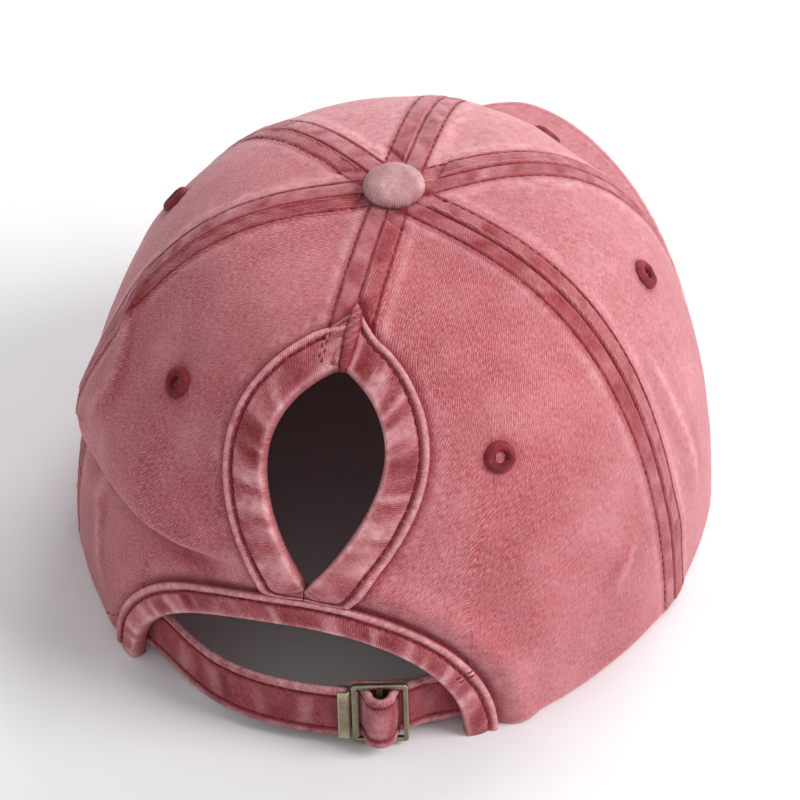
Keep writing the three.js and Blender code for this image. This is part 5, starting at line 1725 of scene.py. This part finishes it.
def peak_piece():
    """A stiff board in cloth, its edge rounded, with a slight ridge where the cloth is turned in."""
    part = np.linspace(-1, 1, PEAK_COLUMNS)
    inner, outer = peak_edges(part)
    width = np.linalg.norm(outer - inner, axis=-1)[:, None]
    row = np.linspace(0, 1, PEAK_ROWS) ** 0.75
    spot = inner[:, None] + (outer - inner)[:, None] * row[None, :, None]
    x, y = spot[..., 0], spot[..., 1]
    from_edge = (1 - row)[None, :] * width
    half = PEAK_THICKNESS / 2
    near = np.clip(from_edge / PEAK_ROUNDING, 0, 1)
    round_in = half * (1 - np.sqrt(near * (2 - near)))
    crimp = ripple(part[:, None] * 90, from_edge, 3.0, 501)
    ridge = bump(from_edge, RIDGE_INSET, 1.0) * (0.12 + 0.1 * crimp) * smoothstep(width, 8, 20)
    waves = 0.25 * ripple(x, y, 22.0, 502) + 0.08 * ripple(x, y, 8.0, 503)
    top = peak_top(x, y)
    upper = np.stack([x, y, top - round_in + (ridge + waves) * near], -1)
    lower = np.stack([x, y, top - PEAK_THICKNESS + round_in - ridge * near], -1)
    points, faces = wall(upper, lower[EVERY_SECOND])
    wear_and_highlight = PEAK_WEAR + 0.9 * bump(from_edge, 0.3, 0.9)
    wear_and_highlight = wear_and_highlight + 0.3 * bump(from_edge, RIDGE_INSET, 0.9) * np.clip(crimp, 0, 1)
    dye_grime_and_shade = 0.3 * bump(from_edge, 2.4, 0.6) * smoothstep(width, 8, 20)
    marks = {"wear_and_highlight": on_wall(wear_and_highlight), "dye_grime_and_shade": on_wall(dye_grime_and_shade, dye_grime_and_shade[EVERY_SECOND] + 0.1)}
    weave = on_wall(flat_place(x, y))
    make_piece("covered_peak", points, faces, TWILL, ["peak"], marks, weave)


SWEATBAND_COLUMNS = 301
SWEATBAND_ROWS = 21
BAND_MM_PER_DEGREE = 1.55


def sweatband_piece():
    right = float(arch_edge(90, ARCH_BINDING_WIDTH + GAP)[0])
    left = float(arch_edge(-90, ARCH_BINDING_WIDTH + GAP)[0]) + 360
    azimuth = np.linspace(right, left, SWEATBAND_COLUMNS)[None, :]
    part = np.linspace(0, 1, SWEATBAND_ROWS)[:, None]
    foot = np.maximum(SWEATBAND_SETBACK, rim_height(azimuth) - PEAK_THICKNESS)
    share = share_at_height(foot) - part * SWEATBAND_HEIGHT / ARC
    skin = -CLOTH - SWEATBAND_GAP
    azimuth, share = fitted(azimuth, share)
    sag = 0.25 * ripple(azimuth * 1.4, part * 30, 9.0, 601)
    inner = on_crown(azimuth, share, skin - SWEATBAND_THICKNESS + sag)
    outer = on_crown(azimuth[EVERY_SECOND], share[EVERY_SECOND], skin)
    points, faces = wall(inner, outer)
    edge = np.maximum(bump(part, 0, 0.04), bump(part, 1, 0.04)) + 0 * azimuth
    line = np.maximum(bump(part, 0.09, 0.02), bump(part, 0.91, 0.02)) + 0 * azimuth
    hidden = 0 * edge[EVERY_SECOND]
    marks = {"wear_and_highlight": on_wall(0.6 * edge, hidden), "dye_grime_and_shade": on_wall(0.7 * line, hidden)}
    weave = on_wall(flat_place(azimuth * BAND_MM_PER_DEGREE, share * ARC))
    make_piece("inner_sweatband", points, faces, INNER_CLOTH, ["sweatband"], marks, weave)


# Stage, light and camera

FLOOR_HALF = 6.0

# Area lights: place and breadth in metres, power in watts, colour
LIGHTS = {
    "window": ((-2.6, 0.0, 1.9), 1.7, 84.0, (1.0, 0.985, 0.985)),
    "behind": ((-0.5, -2.2, 1.5), 1.6, 36.0, (1.0, 1.0, 1.0)),
    "fill": ((1.4, 1.2, 1.2), 1.6, 2.0, (0.97, 0.98, 1.0)),
}
LIGHT_AIM = (0.0, 0.0, 0.05)
SKY_COLOUR = (0.97, 0.98, 1.0, 1)
SKY_STRENGTH = 0.54


def make_floor():
    corners = [(-FLOOR_HALF, -FLOOR_HALF, 0), (FLOOR_HALF, -FLOOR_HALF, 0),
               (FLOOR_HALF, FLOOR_HALF, 0), (-FLOOR_HALF, FLOOR_HALF, 0)]
    mesh = bpy.data.meshes.new("floor")
    mesh.from_pydata(corners, [], [(0, 1, 2, 3)])
    mesh.materials.append(floor_material())
    floor = bpy.data.objects.new("floor", mesh)
    bpy.context.collection.objects.link(floor)


def make_light(name, place, size, power, colour):
    data = bpy.data.lights.new(name, "AREA")
    data.shape = "DISK"
    data.size = size
    data.energy = power
    data.color = colour
    lamp = bpy.data.objects.new(name, data)
    lamp.location = place
    lamp.rotation_mode = "QUATERNION"
    aim = Vector(LIGHT_AIM) - Vector(place)
    lamp.rotation_quaternion = aim.to_track_quat("-Z", "Y")
    bpy.context.collection.objects.link(lamp)


def make_sky():
    """An even pale light from all round."""
    world = bpy.data.worlds.new("studio")
    world.use_nodes = True
    sky = world.node_tree.nodes["Background"].inputs
    sky["Color"].default_value = SKY_COLOUR
    sky["Strength"].default_value = SKY_STRENGTH
    bpy.context.scene.world = world
    bpy.context.scene.view_settings.view_transform = "Standard"


def make_camera():
    """A long lens at the photograph's angle, slightly rolled."""
    azimuth = math.radians(CAMERA_AZIMUTH)
    elevation = math.radians(CAMERA_ELEVATION)
    level = math.cos(elevation)
    back = Vector((math.sin(azimuth) * level, -math.cos(azimuth) * level, math.sin(elevation)))
    target = Vector(np.array(CAMERA_TARGET) * MM + AXIS)
    data = bpy.data.cameras.new("camera")
    data.lens = CAMERA_LENS
    data.sensor_width = SENSOR_WIDTH
    camera = bpy.data.objects.new("camera", data)
    camera.location = target + back * CAMERA_DISTANCE * MM
    right = (-back).cross(Vector((0, 0, 1))).normalized()
    up = right.cross(-back)
    roll = math.radians(CAMERA_ROLL)
    rolled_up = up * math.cos(roll) - right * math.sin(roll)
    rolled_right = right * math.cos(roll) + up * math.sin(roll)
    axes = np.array([rolled_right, rolled_up, back]).T
    camera.rotation_mode = "QUATERNION"
    camera.rotation_quaternion = Matrix(axes.tolist()).to_quaternion()
    bpy.context.collection.objects.link(camera)
    bpy.context.scene.camera = camera


# Seeds of the pieces' random relief, and the numbers of stations along them
EYELET_SEED = 700
EYELET_SEED_STEP = 5
TAPE_STATIONS = 190
ARCH_STATIONS = 330
LEFT_STRAP_STATIONS = 170
RIGHT_STRAP_STATIONS = 320


def make_cap():
    for order, name in enumerate(EYELETS):
        if name.startswith("back"):
            back_panel(name)
        else:
            plain_panel(name)
        eyelet_piece(name, EYELET_SEED + EYELET_SEED_STEP * order)
    button_piece()
    for side, name, seed, end in [(-1, "left", 800, tape_flap()), (1, "right", 810, tape_tab())]:
        stations = spline(hole_stations(side), TAPE_STATIONS)
        binding_piece(f"hole_binding_{name}", stations, HOLE_BINDING_WIDTH, seed, [end])
    binding_piece("arch_binding", arch_stations(ARCH_STATIONS), ARCH_BINDING_WIDTH, 820)
    left = strap_piece("strap_left", left_track(), LEFT_STRAP_STATIONS, 830)
    right = strap_piece("strap_right", right_track(), RIGHT_STRAP_STATIONS, 840)
    buckle_frame_piece()
    clamp_piece()
    peak_piece()
    sweatband_piece()
    seam_stitches()
    binding_stitches()
    strap_stitches([left, right])


make_floor()
for name, row in LIGHTS.items():
    make_light(name, *row)
make_sky()
make_camera()
make_cap()
